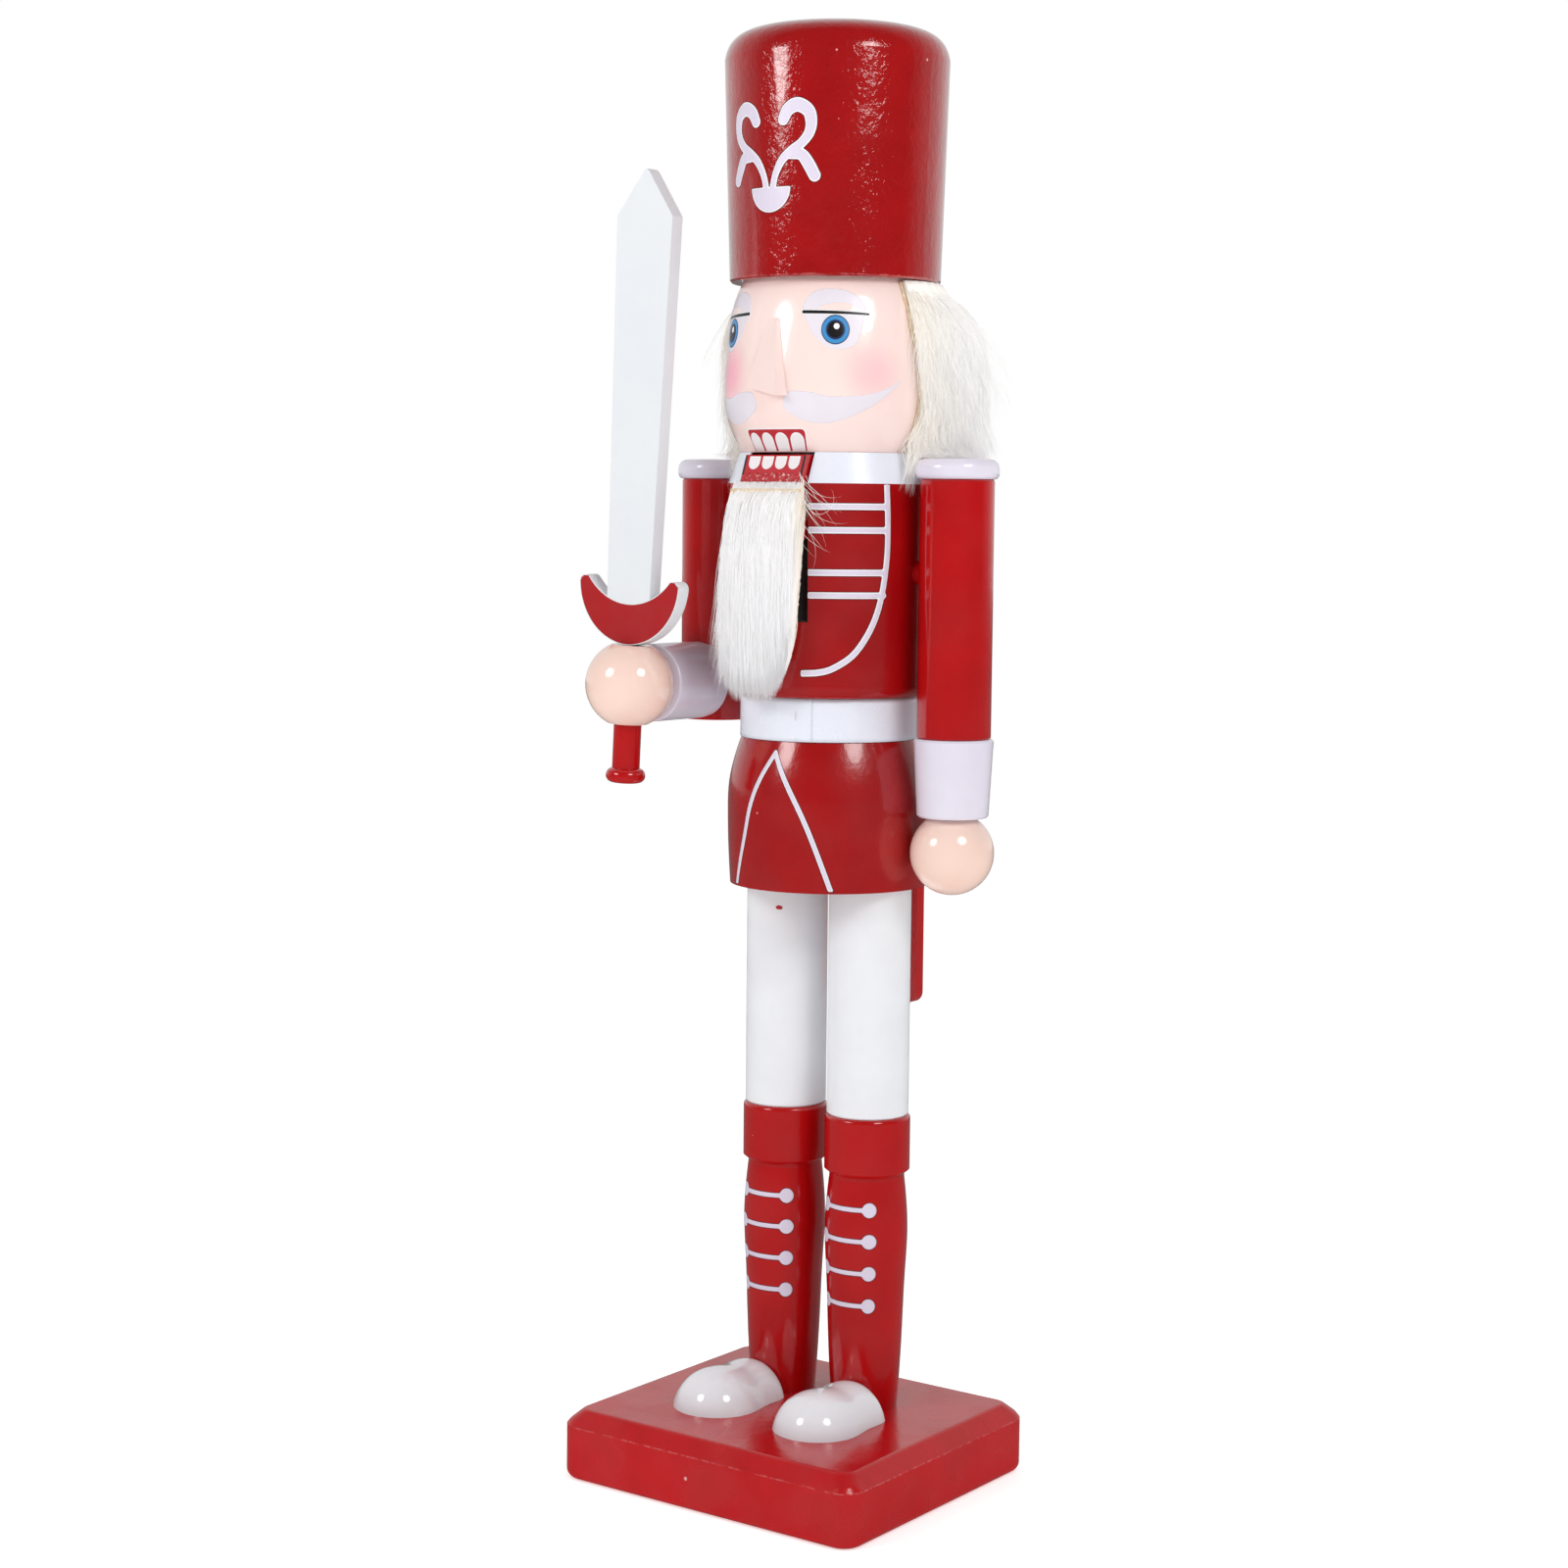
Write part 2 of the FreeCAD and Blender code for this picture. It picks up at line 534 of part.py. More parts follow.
def make_hat():
    z, top = HEAD_TOP, HAT_TOP
    brim, crown = HAT_BRIM_RADIUS, HAT_TOP_RADIUS
    edge_foot = top - HAT_EDGE_DROP
    outline = [[(brim - 0.5, z), (brim, z + 0.5)], [(brim, z + 0.5), (crown, edge_foot)],
               [(crown, edge_foot), (crown - 0.27 * HAT_EDGE_RUN, top - 0.32 * HAT_EDGE_DROP),
                (crown - HAT_EDGE_RUN, top - HAT_DOME * 0.45), (0.35 * crown, top - HAT_DOME * 0.12)],
               [(0.35 * crown, top - HAT_DOME * 0.12), (0, top)]]
    return turned(outline).cut(hat_dowel())


def make_hair():
    """Outer shape of the fur strip glued round the sides and back of the head."""
    r, t, foot = HEAD_RADIUS, HAIR_THICKNESS, CHEST_TOP + HAIR_NECK_GAP
    h = HEAD_TOP - foot
    inner = HEAD_BASE_RADIUS * 0.8
    outer = [(inner, foot), (r + 0.72 * t, foot), (r + 0.95 * t, foot + 0.2 * h),
             (r + t, foot + 0.42 * h), (r + 0.9 * t, foot + 0.64 * h), (r + 0.55 * t, foot + 0.85 * h),
             (HAT_BRIM_RADIUS, HEAD_TOP - 0.4), (inner, HEAD_TOP - 0.4)]
    points = [V(0, radius, height) for radius, height in outer]
    back = Part.BSplineCurve()
    back.interpolate(points[1:-1])
    edges = [back.toShape()] + [Part.LineSegment(a, b).toShape() for a, b in
                                ((points[-2], points[-1]), (points[-1], points[0]), (points[0], points[1]))]
    section = Part.Face(Part.Wire(Part.__sortEdges__(edges)))
    sweep = 2 * (180 - HAIR_FRONT_ANGLE)
    section.rotate(V(0, 0, 0), UP, -sweep / 2)
    hair = section.revolve(V(0, 0, 0), UP, sweep)
    hair.translate(V(0, BODY_Y, 0))
    return hair.cut(head_blank())


# ---- arms ----
def arm_point(side, z):
    return V(side * ARM_X, ARM_Y, z)


def make_epaulette(side):
    disc = Part.makeCylinder(EPAULETTE_RADIUS, EPAULETTE_THICKNESS, arm_point(side, SLEEVE_TOP))
    disc = eased(disc, 0.48 * EPAULETTE_THICKNESS, at_height(EPAULETTE_TOP))
    return eased(disc, 0.29 * EPAULETTE_THICKNESS, at_height(SLEEVE_TOP))


def left_wrist_dowel():
    cuff_top = SLEEVE_TOP - LEFT_SLEEVE_LENGTH
    foot = cuff_top - LEFT_CUFF_LENGTH - LEFT_HAND_FLAT + WRIST_DOWEL_REACH
    return rod(WRIST_DOWEL_RADIUS, arm_point(1, foot), arm_point(1, cuff_top + WRIST_DOWEL_BITE))


def right_wrist_dowel():
    start = V(-ARM_X, RIGHT_HAND.y + GRIP_RADIUS + WRIST_DOWEL_REACH, FOREARM_Z)
    return rod(WRIST_DOWEL_RADIUS, start, V(-ARM_X, FOREARM_BACK_Y + WRIST_DOWEL_BITE, FOREARM_Z))


def make_sleeve(side):
    length = LEFT_SLEEVE_LENGTH if side > 0 else RIGHT_SLEEVE_LENGTH
    r, lip = SLEEVE_RADIUS, 0.4
    foot = SLEEVE_TOP - length
    outline = [[(r - lip, foot), (r, foot + lip)], [(r, foot + lip), (r, SLEEVE_TOP - lip)],
               [(r, SLEEVE_TOP - lip), (r - lip, SLEEVE_TOP)]]
    sleeve = turned(outline, side * ARM_X, ARM_Y).cut(shoulder_dowel(side))
    if side > 0:
        return sleeve.cut(left_wrist_dowel())
    return sleeve.cut(forearm_blank()).cut(right_wrist_dowel())


def forearm_blank():
    return rod(CUFF_RADIUS, V(-ARM_X, FOREARM_FRONT_Y, FOREARM_Z), V(-ARM_X, FOREARM_BACK_Y, FOREARM_Z))


def make_left_cuff():
    top = SLEEVE_TOP - LEFT_SLEEVE_LENGTH
    foot, lip = top - LEFT_CUFF_LENGTH, 0.5
    outline = [[(CUFF_END_RADIUS - lip, foot), (CUFF_END_RADIUS, foot + lip)],
               [(CUFF_END_RADIUS, foot + lip), (CUFF_RADIUS, top - lip)],
               [(CUFF_RADIUS, top - lip), (CUFF_RADIUS - lip, top)]]
    return turned(outline, ARM_X, ARM_Y).cut(left_wrist_dowel())


def make_right_cuff():
    cuff = eased(forearm_blank(), 0.5, lambda e: abs(e.BoundBox.YMax - FOREARM_FRONT_Y) < 1e-4)
    return cuff.cut(right_wrist_dowel())


def make_left_hand():
    flat_z = SLEEVE_TOP - LEFT_SLEEVE_LENGTH - LEFT_CUFF_LENGTH
    centre = arm_point(1, flat_z - LEFT_HAND_FLAT)
    ball = Part.makeSphere(LEFT_HAND_RADIUS, centre)
    reach = 2 * LEFT_HAND_RADIUS
    above = block(centre.x - reach, centre.x + reach, ARM_Y - reach, ARM_Y + reach, flat_z, flat_z + reach)
    ball = ball.cut(above)
    return ball.cut(left_wrist_dowel())


def sword_placed(shape):
    """Lean a piece made upright at the grip's axis, about the right hand's centre."""
    shape.rotate(RIGHT_HAND, V(0, 1, 0), SWORD_TILT)
    return shape


def make_right_hand():
    c, r = RIGHT_HAND, RIGHT_HAND_RADIUS
    ball = Part.makeSphere(r, c)
    ball = ball.cut(block(c.x - r, c.x + r, FOREARM_FRONT_Y, FOREARM_FRONT_Y + r, c.z - r, c.z + r))
    grip_hole = rod(GRIP_RADIUS + GRIP_HOLE_CLEARANCE, c - UP * (2 * r), c + UP * (2 * r))
    above = block(c.x - r, c.x + r, c.y - r, c.y + r, c.z + GRIP_FLAT, c.z + 2 * r)
    below = block(c.x - r, c.x + r, c.y - r, c.y + r, c.z - 2 * r, c.z - GRIP_FLAT)
    for tool in (grip_hole, above, below):
        ball = ball.cut(sword_placed(tool))
    return ball.cut(right_wrist_dowel())


# ---- sword ----
def tenon():
    foot = RIGHT_HAND + UP * GRIP_FLAT
    return rod(TENON_RADIUS, foot, foot + UP * TENON_LENGTH)


def make_sword_blade():
    """Blade and crescent guard, sawn from one board."""
    x, z0 = RIGHT_HAND.x, RIGHT_HAND.z + GRIP_FLAT
    front = RIGHT_HAND.y - BOARD_THICKNESS / 2
    root, tip = BLADE_ROOT_WIDTH / 2, BLADE_TIP_WIDTH / 2
    root_z, shoulder_z = z0 + GUARD_WEB / 2, z0 + BLADE_LENGTH
    point_z = shoulder_z + BLADE_POINT_LENGTH
    blade = [V(x - root, front, root_z), V(x + root, front, root_z), V(x + tip, front, shoulder_z),
             V(x + 0.9, front, point_z - 0.7), V(x, front, point_z), V(x - 0.9, front, point_z - 0.7),
             V(x - tip, front, shoulder_z)]
    board = V(0, BOARD_THICKNESS, 0)
    guard_z, hollow_z = z0 + GUARD_RADIUS, z0 + GUARD_WEB + GUARD_HOLLOW_RADIUS
    guard = rod(GUARD_RADIUS, V(x, front, guard_z), V(x, front, guard_z) + board)
    hollow = rod(GUARD_HOLLOW_RADIUS, V(x, front - 1, hollow_z), V(x, front + 1, hollow_z) + board)
    guard = eased(guard.cut(hollow), HORN_ROUND,
                  lambda e: max(e.BoundBox.XLength, e.BoundBox.ZLength) < 1e-3)
    sword = guard.fuse(plate(lines(blade), board)).removeSplitter().cut(tenon())
    return sword_placed(sword)


def make_sword_grip():
    x, y, z0 = RIGHT_HAND.x, RIGHT_HAND.y, RIGHT_HAND.z
    pommel_top = z0 - GRIP_FLAT - GRIP_LENGTH
    foot = pommel_top - POMMEL_HEIGHT
    bulge, r = POMMEL_RADIUS, GRIP_RADIUS
    widest = (bulge, foot + 0.55 * POMMEL_HEIGHT)
    outline = [[(bulge - 1.6, foot), (bulge - 0.25, foot + 0.22 * POMMEL_HEIGHT), widest],
               [widest, (bulge - 0.5, foot + 0.85 * POMMEL_HEIGHT), (r, pommel_top)],
               [(r, pommel_top), (r, z0 + GRIP_FLAT)]]
    return sword_placed(turned(outline, x, y).fuse(tenon()).removeSplitter())


NODES = {
    "base_plinth": make_plinth,
    "base_screws": lambda: both_sides(make_screw),
    "left_boot": lambda: make_boot(1),
    "right_boot": lambda: make_boot(-1),
    "left_trouser_leg": lambda: make_trouser_leg(1),
    "right_trouser_leg": lambda: make_trouser_leg(-1),
    "knee_dowels": lambda: both_sides(lambda side: leg_dowel(side, KNEE)),
    "hip_dowels": lambda: both_sides(lambda side: leg_dowel(side, HEM)),
    "left_shoe": lambda: make_shoe(1),
    "right_shoe": lambda: make_shoe(-1),
    "torso": make_torso,
    "belt_band": make_belt,
    "collar_band": make_collar,
    "pivot_pin": make_pin,
    "neck_dowels": lambda: both_sides(neck_dowel),
    "head": make_head,
    "nose": make_nose,
    "hat": make_hat,
    "hat_dowel": hat_dowel,
    "hair": make_hair,
    "left_epaulette": lambda: make_epaulette(1),
    "right_epaulette": lambda: make_epaulette(-1),
    "left_sleeve": lambda: make_sleeve(1),
    "right_sleeve": lambda: make_sleeve(-1),
    "left_cuff": make_left_cuff,
    "right_cuff": make_right_cuff,
    "left_hand": make_left_hand,
    "right_hand": make_right_hand,
    "shoulder_dowels": lambda: both_sides(shoulder_dowel),
    "left_wrist_dowel": left_wrist_dowel,
    "right_wrist_dowel": right_wrist_dowel,
    "sword_blade": make_sword_blade,
    "sword_grip": make_sword_grip,
    "jaw_lever": make_lever,
    "beard": make_beard,
}


def main():
    os.makedirs("parts", exist_ok=True)
    for name, make in NODES.items():
        shape = make()
        solids = shape.Solids
        if not solids or not all(solid.isValid() for solid in solids):
            raise RuntimeError(name + " is not made of valid solids")
        piece = solids[0] if len(solids) == 1 else Part.makeCompound(solids)
        piece.exportStep(os.path.join("parts", name + ".step"))
        box = piece.BoundBox
        print("%-18s solids %d  volume %8.0f  x %7.2f %7.2f  y %7.2f %7.2f  z %7.2f %7.2f" % (
            name, len(solids), piece.Volume, box.XMin, box.XMax, box.YMin, box.YMax, box.ZMin, box.ZMax))


main()
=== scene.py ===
"""A painted wooden nutcracker soldier: enamel, printed decoration, vinyl bands and long-pile fur
worked up around the fixed frame of turned and sawn parts."""
import math

import bpy
import numpy as np
from mathutils import Matrix, Vector
from mathutils.bvhtree import BVHTree


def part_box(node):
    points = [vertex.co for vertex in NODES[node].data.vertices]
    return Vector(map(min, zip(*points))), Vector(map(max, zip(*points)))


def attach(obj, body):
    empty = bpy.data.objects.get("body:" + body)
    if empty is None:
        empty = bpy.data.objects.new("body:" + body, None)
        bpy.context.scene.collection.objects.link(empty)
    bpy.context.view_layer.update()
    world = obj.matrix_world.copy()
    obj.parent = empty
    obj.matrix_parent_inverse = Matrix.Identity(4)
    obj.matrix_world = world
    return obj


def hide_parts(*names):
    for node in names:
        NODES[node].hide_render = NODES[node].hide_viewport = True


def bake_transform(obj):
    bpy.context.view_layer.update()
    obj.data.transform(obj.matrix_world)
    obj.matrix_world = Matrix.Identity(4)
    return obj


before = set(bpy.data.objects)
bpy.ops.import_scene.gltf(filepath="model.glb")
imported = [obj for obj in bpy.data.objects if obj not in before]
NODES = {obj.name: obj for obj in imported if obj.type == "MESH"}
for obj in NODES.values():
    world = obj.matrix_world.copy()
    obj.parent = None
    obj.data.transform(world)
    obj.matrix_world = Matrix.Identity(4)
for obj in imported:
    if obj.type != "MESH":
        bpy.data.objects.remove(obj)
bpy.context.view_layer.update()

MM = 0.001
CHANCE = np.random.default_rng(1816)
CAMERA_TURN = 35.995           # degrees round the plinth from straight in front


# ------------ camera, light and floor

def aim():
    """Right, up and forward of the camera: it circles the plinth, then turns, tips and rolls."""
    azimuth, yaw, pitch, roll = (math.radians(a) for a in (CAMERA_TURN, -0.337, -5.409, 0.544))
    forward = Vector((-math.sin(azimuth), math.cos(azimuth), 0))
    right = Vector((math.cos(azimuth), math.sin(azimuth), 0))
    up = Vector((0, 0, 1))
    forward, right = (math.cos(yaw) * forward + math.sin(yaw) * right,
                      math.cos(yaw) * right - math.sin(yaw) * forward)
    forward, up = (math.cos(pitch) * forward + math.sin(pitch) * up,
                   math.cos(pitch) * up - math.sin(pitch) * forward)
    right, up = (math.cos(roll) * right + math.sin(roll) * up,
                 math.cos(roll) * up - math.sin(roll) * right)
    return right, up, forward


def turned_to(right, up, forward):
    """Rotation that points an object's -Z along forward."""
    return Matrix((right, up, -forward)).transposed().to_4x4()


def make_camera():
    distance, height, azimuth = 0.75717, 0.25716, math.radians(CAMERA_TURN)
    place = Vector((distance * math.sin(azimuth), -distance * math.cos(azimuth), height))
    camera = bpy.data.objects.new("camera", bpy.data.cameras.new("camera"))
    bpy.context.scene.collection.objects.link(camera)
    camera.matrix_world = Matrix.Translation(place) @ turned_to(*aim())
    camera.data.lens = 66.58
    camera.data.sensor_width = 36
    camera.data.dof.use_dof = False
    bpy.context.scene.camera = camera


def make_softbox(name, across, above, towards):
    """Round panel near the raised hand, in a direction given from the camera's axes."""
    diameter, power, distance = 0.21, 1.0, 0.6
    right, up, forward = aim()
    middle = middle_of("right_hand")
    direction = (across * right + above * up - towards * forward).normalized()
    light = bpy.data.lights.new(name, "AREA")
    light.shape = "DISK"
    light.size = diameter
    light.energy = power
    box = bpy.data.objects.new(name, light)
    bpy.context.scene.collection.objects.link(box)
    box.location = middle + direction * distance
    box.rotation_mode = "QUATERNION"
    box.rotation_quaternion = (-direction).to_track_quat("-Z", "Y")


def make_surroundings():
    """White studio: even on matt faces, dim in the gloss from the front, lighter from behind."""
    world = bpy.data.worlds.new("studio")
    bpy.context.scene.world = world
    world.use_nodes = True
    tree = world.node_tree
    tree.nodes.clear()
    forward = aim()[2]
    direction = put(tree, "ShaderNodeTexCoord").outputs["Generated"]
    facing = put(tree, "ShaderNodeVectorMath", {0: direction, 1: forward}, operation="DOT_PRODUCT")
    gloss = put(tree, "ShaderNodeMapRange", {"Value": facing.outputs["Value"], "From Min": -0.2,
                                             "From Max": 0.7, "To Min": 0.06, "To Max": 0.7})
    path = put(tree, "ShaderNodeLightPath").outputs
    matt = mixed(tree, path["Is Glossy Ray"], 0.58, gloss.outputs["Result"])
    seen = mixed(tree, path["Is Camera Ray"], matt, 1.0)
    light = put(tree, "ShaderNodeBackground", {"Color": (1, 1, 1, 1), "Strength": seen})
    out = put(tree, "ShaderNodeOutputWorld")
    tree.links.new(light.outputs[0], out.inputs["Surface"])


def make_floor():
    half = 8.0
    corners = [(-half, -half, 0), (half, -half, 0), (half, half, 0), (-half, half, 0)]
    floor = sheet_mesh("floor", corners, [(0, 1, 2, 3)], floor_paper(), smooth=False)


# ------------ node helpers

def put(tree, kind, sockets=None, **settings):
    """A new node, with its sockets set to values or linked from other sockets."""
    node = tree.nodes.new(kind)
    for name, value in settings.items():
        setattr(node, name, value)
    for key, value in (sockets or {}).items():
        if isinstance(value, bpy.types.NodeSocket):
            tree.links.new(value, node.inputs[key])
        else:
            node.inputs[key].default_value = value
    return node


def mixed(tree, share, a, b):
    """Number between a and b."""
    return put(tree, "ShaderNodeMix", {0: share, 2: a, 3: b}, data_type="FLOAT").outputs[0]


def blended(tree, share, a, b):
    """Colour between a and b."""
    return put(tree, "ShaderNodeMix", {0: share, 6: a, 7: b}, data_type="RGBA").outputs[2]


def sums(tree, operation, a, b=0.0, c=0.0, clamp=False):
    return put(tree, "ShaderNodeMath", {0: a, 1: b, 2: c}, operation=operation,
               use_clamp=clamp).outputs[0]


def ramp(tree, value, low, high, at_low=0.0, at_high=1.0):
    """Smooth step of value from low to high."""
    node = put(tree, "ShaderNodeMapRange", {"Value": value, "From Min": low, "From Max": high,
                                            "To Min": at_low, "To Max": at_high})
    node.interpolation_type = "SMOOTHSTEP"
    return node.outputs["Result"]


def noise(tree, where, scale, detail=2.0, roughness=0.5):
    return put(tree, "ShaderNodeTexNoise", {"Vector": where, "Scale": scale, "Detail": detail,
                                            "Roughness": roughness}).outputs["Fac"]


def stretched(tree, where, along_z):
    """Coordinates that draw a texture out up the piece."""
    return put(tree, "ShaderNodeVectorMath", {0: where, 1: (1, 1, along_z)},
               operation="MULTIPLY").outputs["Vector"]


def effect(name, inputs, outputs, build):
    """Node group that several finishes share."""
    tree = bpy.data.node_groups.new(name, "ShaderNodeTree")
    for label, value in inputs.items():
        socket = tree.interface.new_socket(label, in_out="INPUT", socket_type="NodeSocketFloat")
        socket.default_value = value
    for label in outputs:
        tree.interface.new_socket(label, in_out="OUTPUT", socket_type="NodeSocketFloat")
    given = tree.nodes.new("NodeGroupInput").outputs
    result = tree.nodes.new("NodeGroupOutput").inputs
    where = put(tree, "ShaderNodeTexCoord").outputs["Object"]
    for label, socket in build(tree, given, where).items():
        tree.links.new(socket, result[label])
    return tree


def use(tree, group, **values):
    """A shared effect placed in a finish; values name its inputs, with _ for a space."""
    node = put(tree, "ShaderNodeGroup", node_tree=group)
    for name, value in values.items():
        node.inputs[name.replace("_", " ")].default_value = value
    return node.outputs


# ------------ shared effects

def build_ripple(tree, given, where):
    """Lacquer that has run and set: a soft orange peel, a little drawn out up the face."""
    drawn = stretched(tree, where, 0.75)
    peel = noise(tree, drawn, given["Scale"], 3.0, 0.6)
    swell = noise(tree, where, sums(tree, "MULTIPLY", given["Scale"], 0.16), 1.0)
    fine = noise(tree, drawn, sums(tree, "MULTIPLY", given["Scale"], 3.1), 1.0)
    height = sums(tree, "MULTIPLY_ADD", swell, 1.6, peel)
    return {"Height": sums(tree, "MULTIPLY_ADD", fine, 0.22, height), "Patch": swell}


def build_specks(tree, given, where):
    """Scattered dots of dust, each cell of a scatter kept or left by chance."""
    cells = put(tree, "ShaderNodeTexVoronoi", {"Vector": where, "Scale": given["Scale"]})
    lot = put(tree, "ShaderNodeSeparateColor", {"Color": cells.outputs["Color"]}).outputs
    size = sums(tree, "MULTIPLY_ADD", lot[1], 0.09, 0.03)
    dot = sums(tree, "LESS_THAN", cells.outputs["Distance"], size)
    kept = sums(tree, "LESS_THAN", lot[0], given["Share"])
    return {"Mask": sums(tree, "MULTIPLY", dot, kept)}


def build_edge_wear_and_highlight(tree, given, where):
    """Edges where the paint has thinned or broken away, and where a painted highlight runs along
    them, found by rounding them off.
    """
    rounded = put(tree, "ShaderNodeBevel", {"Radius": given["Radius"]}, samples=6).outputs[0]
    true = put(tree, "ShaderNodeNewGeometry").outputs["Normal"]
    match = put(tree, "ShaderNodeVectorMath", {0: rounded, 1: true},
                operation="DOT_PRODUCT").outputs["Value"]
    edge = ramp(tree, match, 0.985, 0.86)
    broken = ramp(tree, noise(tree, where, 420.0, 3.0, 0.7), 0.42, 0.62)
    return {"Mask": sums(tree, "MULTIPLY", sums(tree, "MULTIPLY", edge, broken), given["Amount"])}


def build_grain(tree, given, where):
    """Long straight grain up the piece, as a tone and a height."""
    drawn = stretched(tree, where, 0.035)
    lines = noise(tree, drawn, given["Scale"], 4.0, 0.65)
    bands = noise(tree, drawn, sums(tree, "MULTIPLY", given["Scale"], 0.25), 2.0)
    tone = sums(tree, "MULTIPLY_ADD", bands, 0.5, sums(tree, "MULTIPLY", lines, 0.5))
    return {"Tone": tone, "Height": lines}


def build_drift(tree, given, where):
    """Slow change of tone over a coat of paint."""
    broad = noise(tree, where, given["Scale"], 3.0, 0.6)
    return {"Tone": ramp(tree, broad, 0.3, 0.7)}


RIPPLE = effect("lacquer_ripple", {"Scale": 500.0}, ["Height", "Patch"], build_ripple)
SPECKS = effect("dust_specks", {"Scale": 300.0, "Share": 0.1}, ["Mask"], build_specks)
EDGE_WEAR_AND_HIGHLIGHT = effect("edge_wear_and_highlight", {"Radius": 0.001, "Amount": 1.0}, ["Mask"], build_edge_wear_and_highlight)
GRAIN = effect("straight_grain", {"Scale": 900.0}, ["Tone", "Height"], build_grain)
DRIFT = effect("tone_drift", {"Scale": 60.0}, ["Tone"], build_drift)


# ------------ finishes

def shade(red, green, blue):
    """Colour from its everyday 0 to 255 values."""
    def linear(level):
        level /= 255
        return level / 12.92 if level <= 0.04045 else ((level + 0.055) / 1.055) ** 2.4
    return (linear(red), linear(green), linear(blue), 1.0)


def finish_named(name, **sockets):
    """A new material with its surface shader; sockets name the shader's own, _ for a space."""
    material = bpy.data.materials.new(name)
    material.use_nodes = True
    tree = material.node_tree
    surface = tree.nodes["Principled BSDF"]
    for label, value in sockets.items():
        surface.inputs[label.replace("_", " ")].default_value = value
    return material, tree, surface


def relief(tree, surface, height, distance, strength=1.0):
    bump = put(tree, "ShaderNodeBump", {"Height": height, "Distance": distance,
                                        "Strength": strength})
    tree.links.new(bump.outputs["Normal"], surface.inputs["Normal"])


def paint(name, colour, deep, gloss, peel, peel_scale, speck, speck_share, coat,
          worn_and_highlit=None, specular=0.5, over=None):
    """Brushed and sprayed enamel on wood: two tones, a rippled coat, specks, and worn edges that
    also carry a painted highlight.
    """
    material, tree, surface = finish_named(name, Coat_Weight=coat, Coat_Roughness=0.09,
                                           Specular_IOR_Level=specular)
    tone = use(tree, DRIFT, Scale=55.0)["Tone"]
    ripple = use(tree, RIPPLE, Scale=peel_scale)
    base = blended(tree, tone, colour, deep)
    if over:
        base = over(tree, base)
    if worn_and_highlit:
        # Pale edges: paint worn through to primer, and a painted highlight along the edge.
        edge = use(tree, EDGE_WEAR_AND_HIGHLIGHT, Radius=0.0009, Amount=0.85)["Mask"]
        base = blended(tree, edge, base, worn_and_highlit)
    speckled = use(tree, SPECKS, Scale=240.0, Share=speck_share)["Mask"]
    base = blended(tree, sums(tree, "MULTIPLY", speckled, 0.75), base, speck)
    tree.links.new(base, surface.inputs["Base Color"])
    tree.links.new(ramp(tree, ripple["Patch"], 0.35, 0.7, gloss * 0.8, gloss * 1.3),
                   surface.inputs["Roughness"])
    relief(tree, surface, ripple["Height"], peel)
    return material


def within(tree, where, axis, low, high, soft=0.00005):
    """Mask that is one where a coordinate lies between two values in metres."""
    part = put(tree, "ShaderNodeSeparateXYZ", {"Vector": where}).outputs[axis]
    return sums(tree, "MULTIPLY", ramp(tree, part, low - soft, low + soft),
                ramp(tree, part, high + soft, high - soft))


def object_place(tree):
    return put(tree, "ShaderNodeTexCoord").outputs["Object"]


RED, RED_DEEP = (161, 10, 13), (150, 6, 10)
# Pale rose of the edges: primer showing through, and a painted highlight.
ROSE_PRIMER_AND_HIGHLIGHT = shade(226, 150, 150)
PALE_DUST = (236, 176, 176)


def darkened_slot(tree, base):
    """Inside the jaw's slot, from its floor up, the torso's colour is taken to near black."""
    where = object_place(tree)
    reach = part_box("jaw_lever")[1].x + 0.75 * MM
    slot_floor, clear_above = 0.2285, 0.30
    inside = sums(tree, "MULTIPLY", within(tree, where, 0, -reach, reach),
                  within(tree, where, 2, slot_floor, clear_above))
    return blended(tree, inside, base, shade(30, 14, 14))


def rouged(tree, base):
    """Cheeks sprayed pink, the one under the sword arm the stronger."""
    low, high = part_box("head")
    axis, reach, cheek_height = (low + high) / 2, (high.x - low.x) / 2, 0.292
    where = object_place(tree)
    for turn, size, strength in ((55, 0.0105, 0.34), (-37, 0.0125, 0.85)):
        angle = math.radians(turn)
        spot = (axis.x + reach * math.sin(angle), axis.y - reach * math.cos(angle), cheek_height)
        gap = put(tree, "ShaderNodeVectorMath", {0: where, 1: spot},
                  operation="DISTANCE").outputs["Value"]
        base = blended(tree, ramp(tree, gap, size, 0.001, 0.0, strength), base,
                       shade(246, 150, 176))
    return base


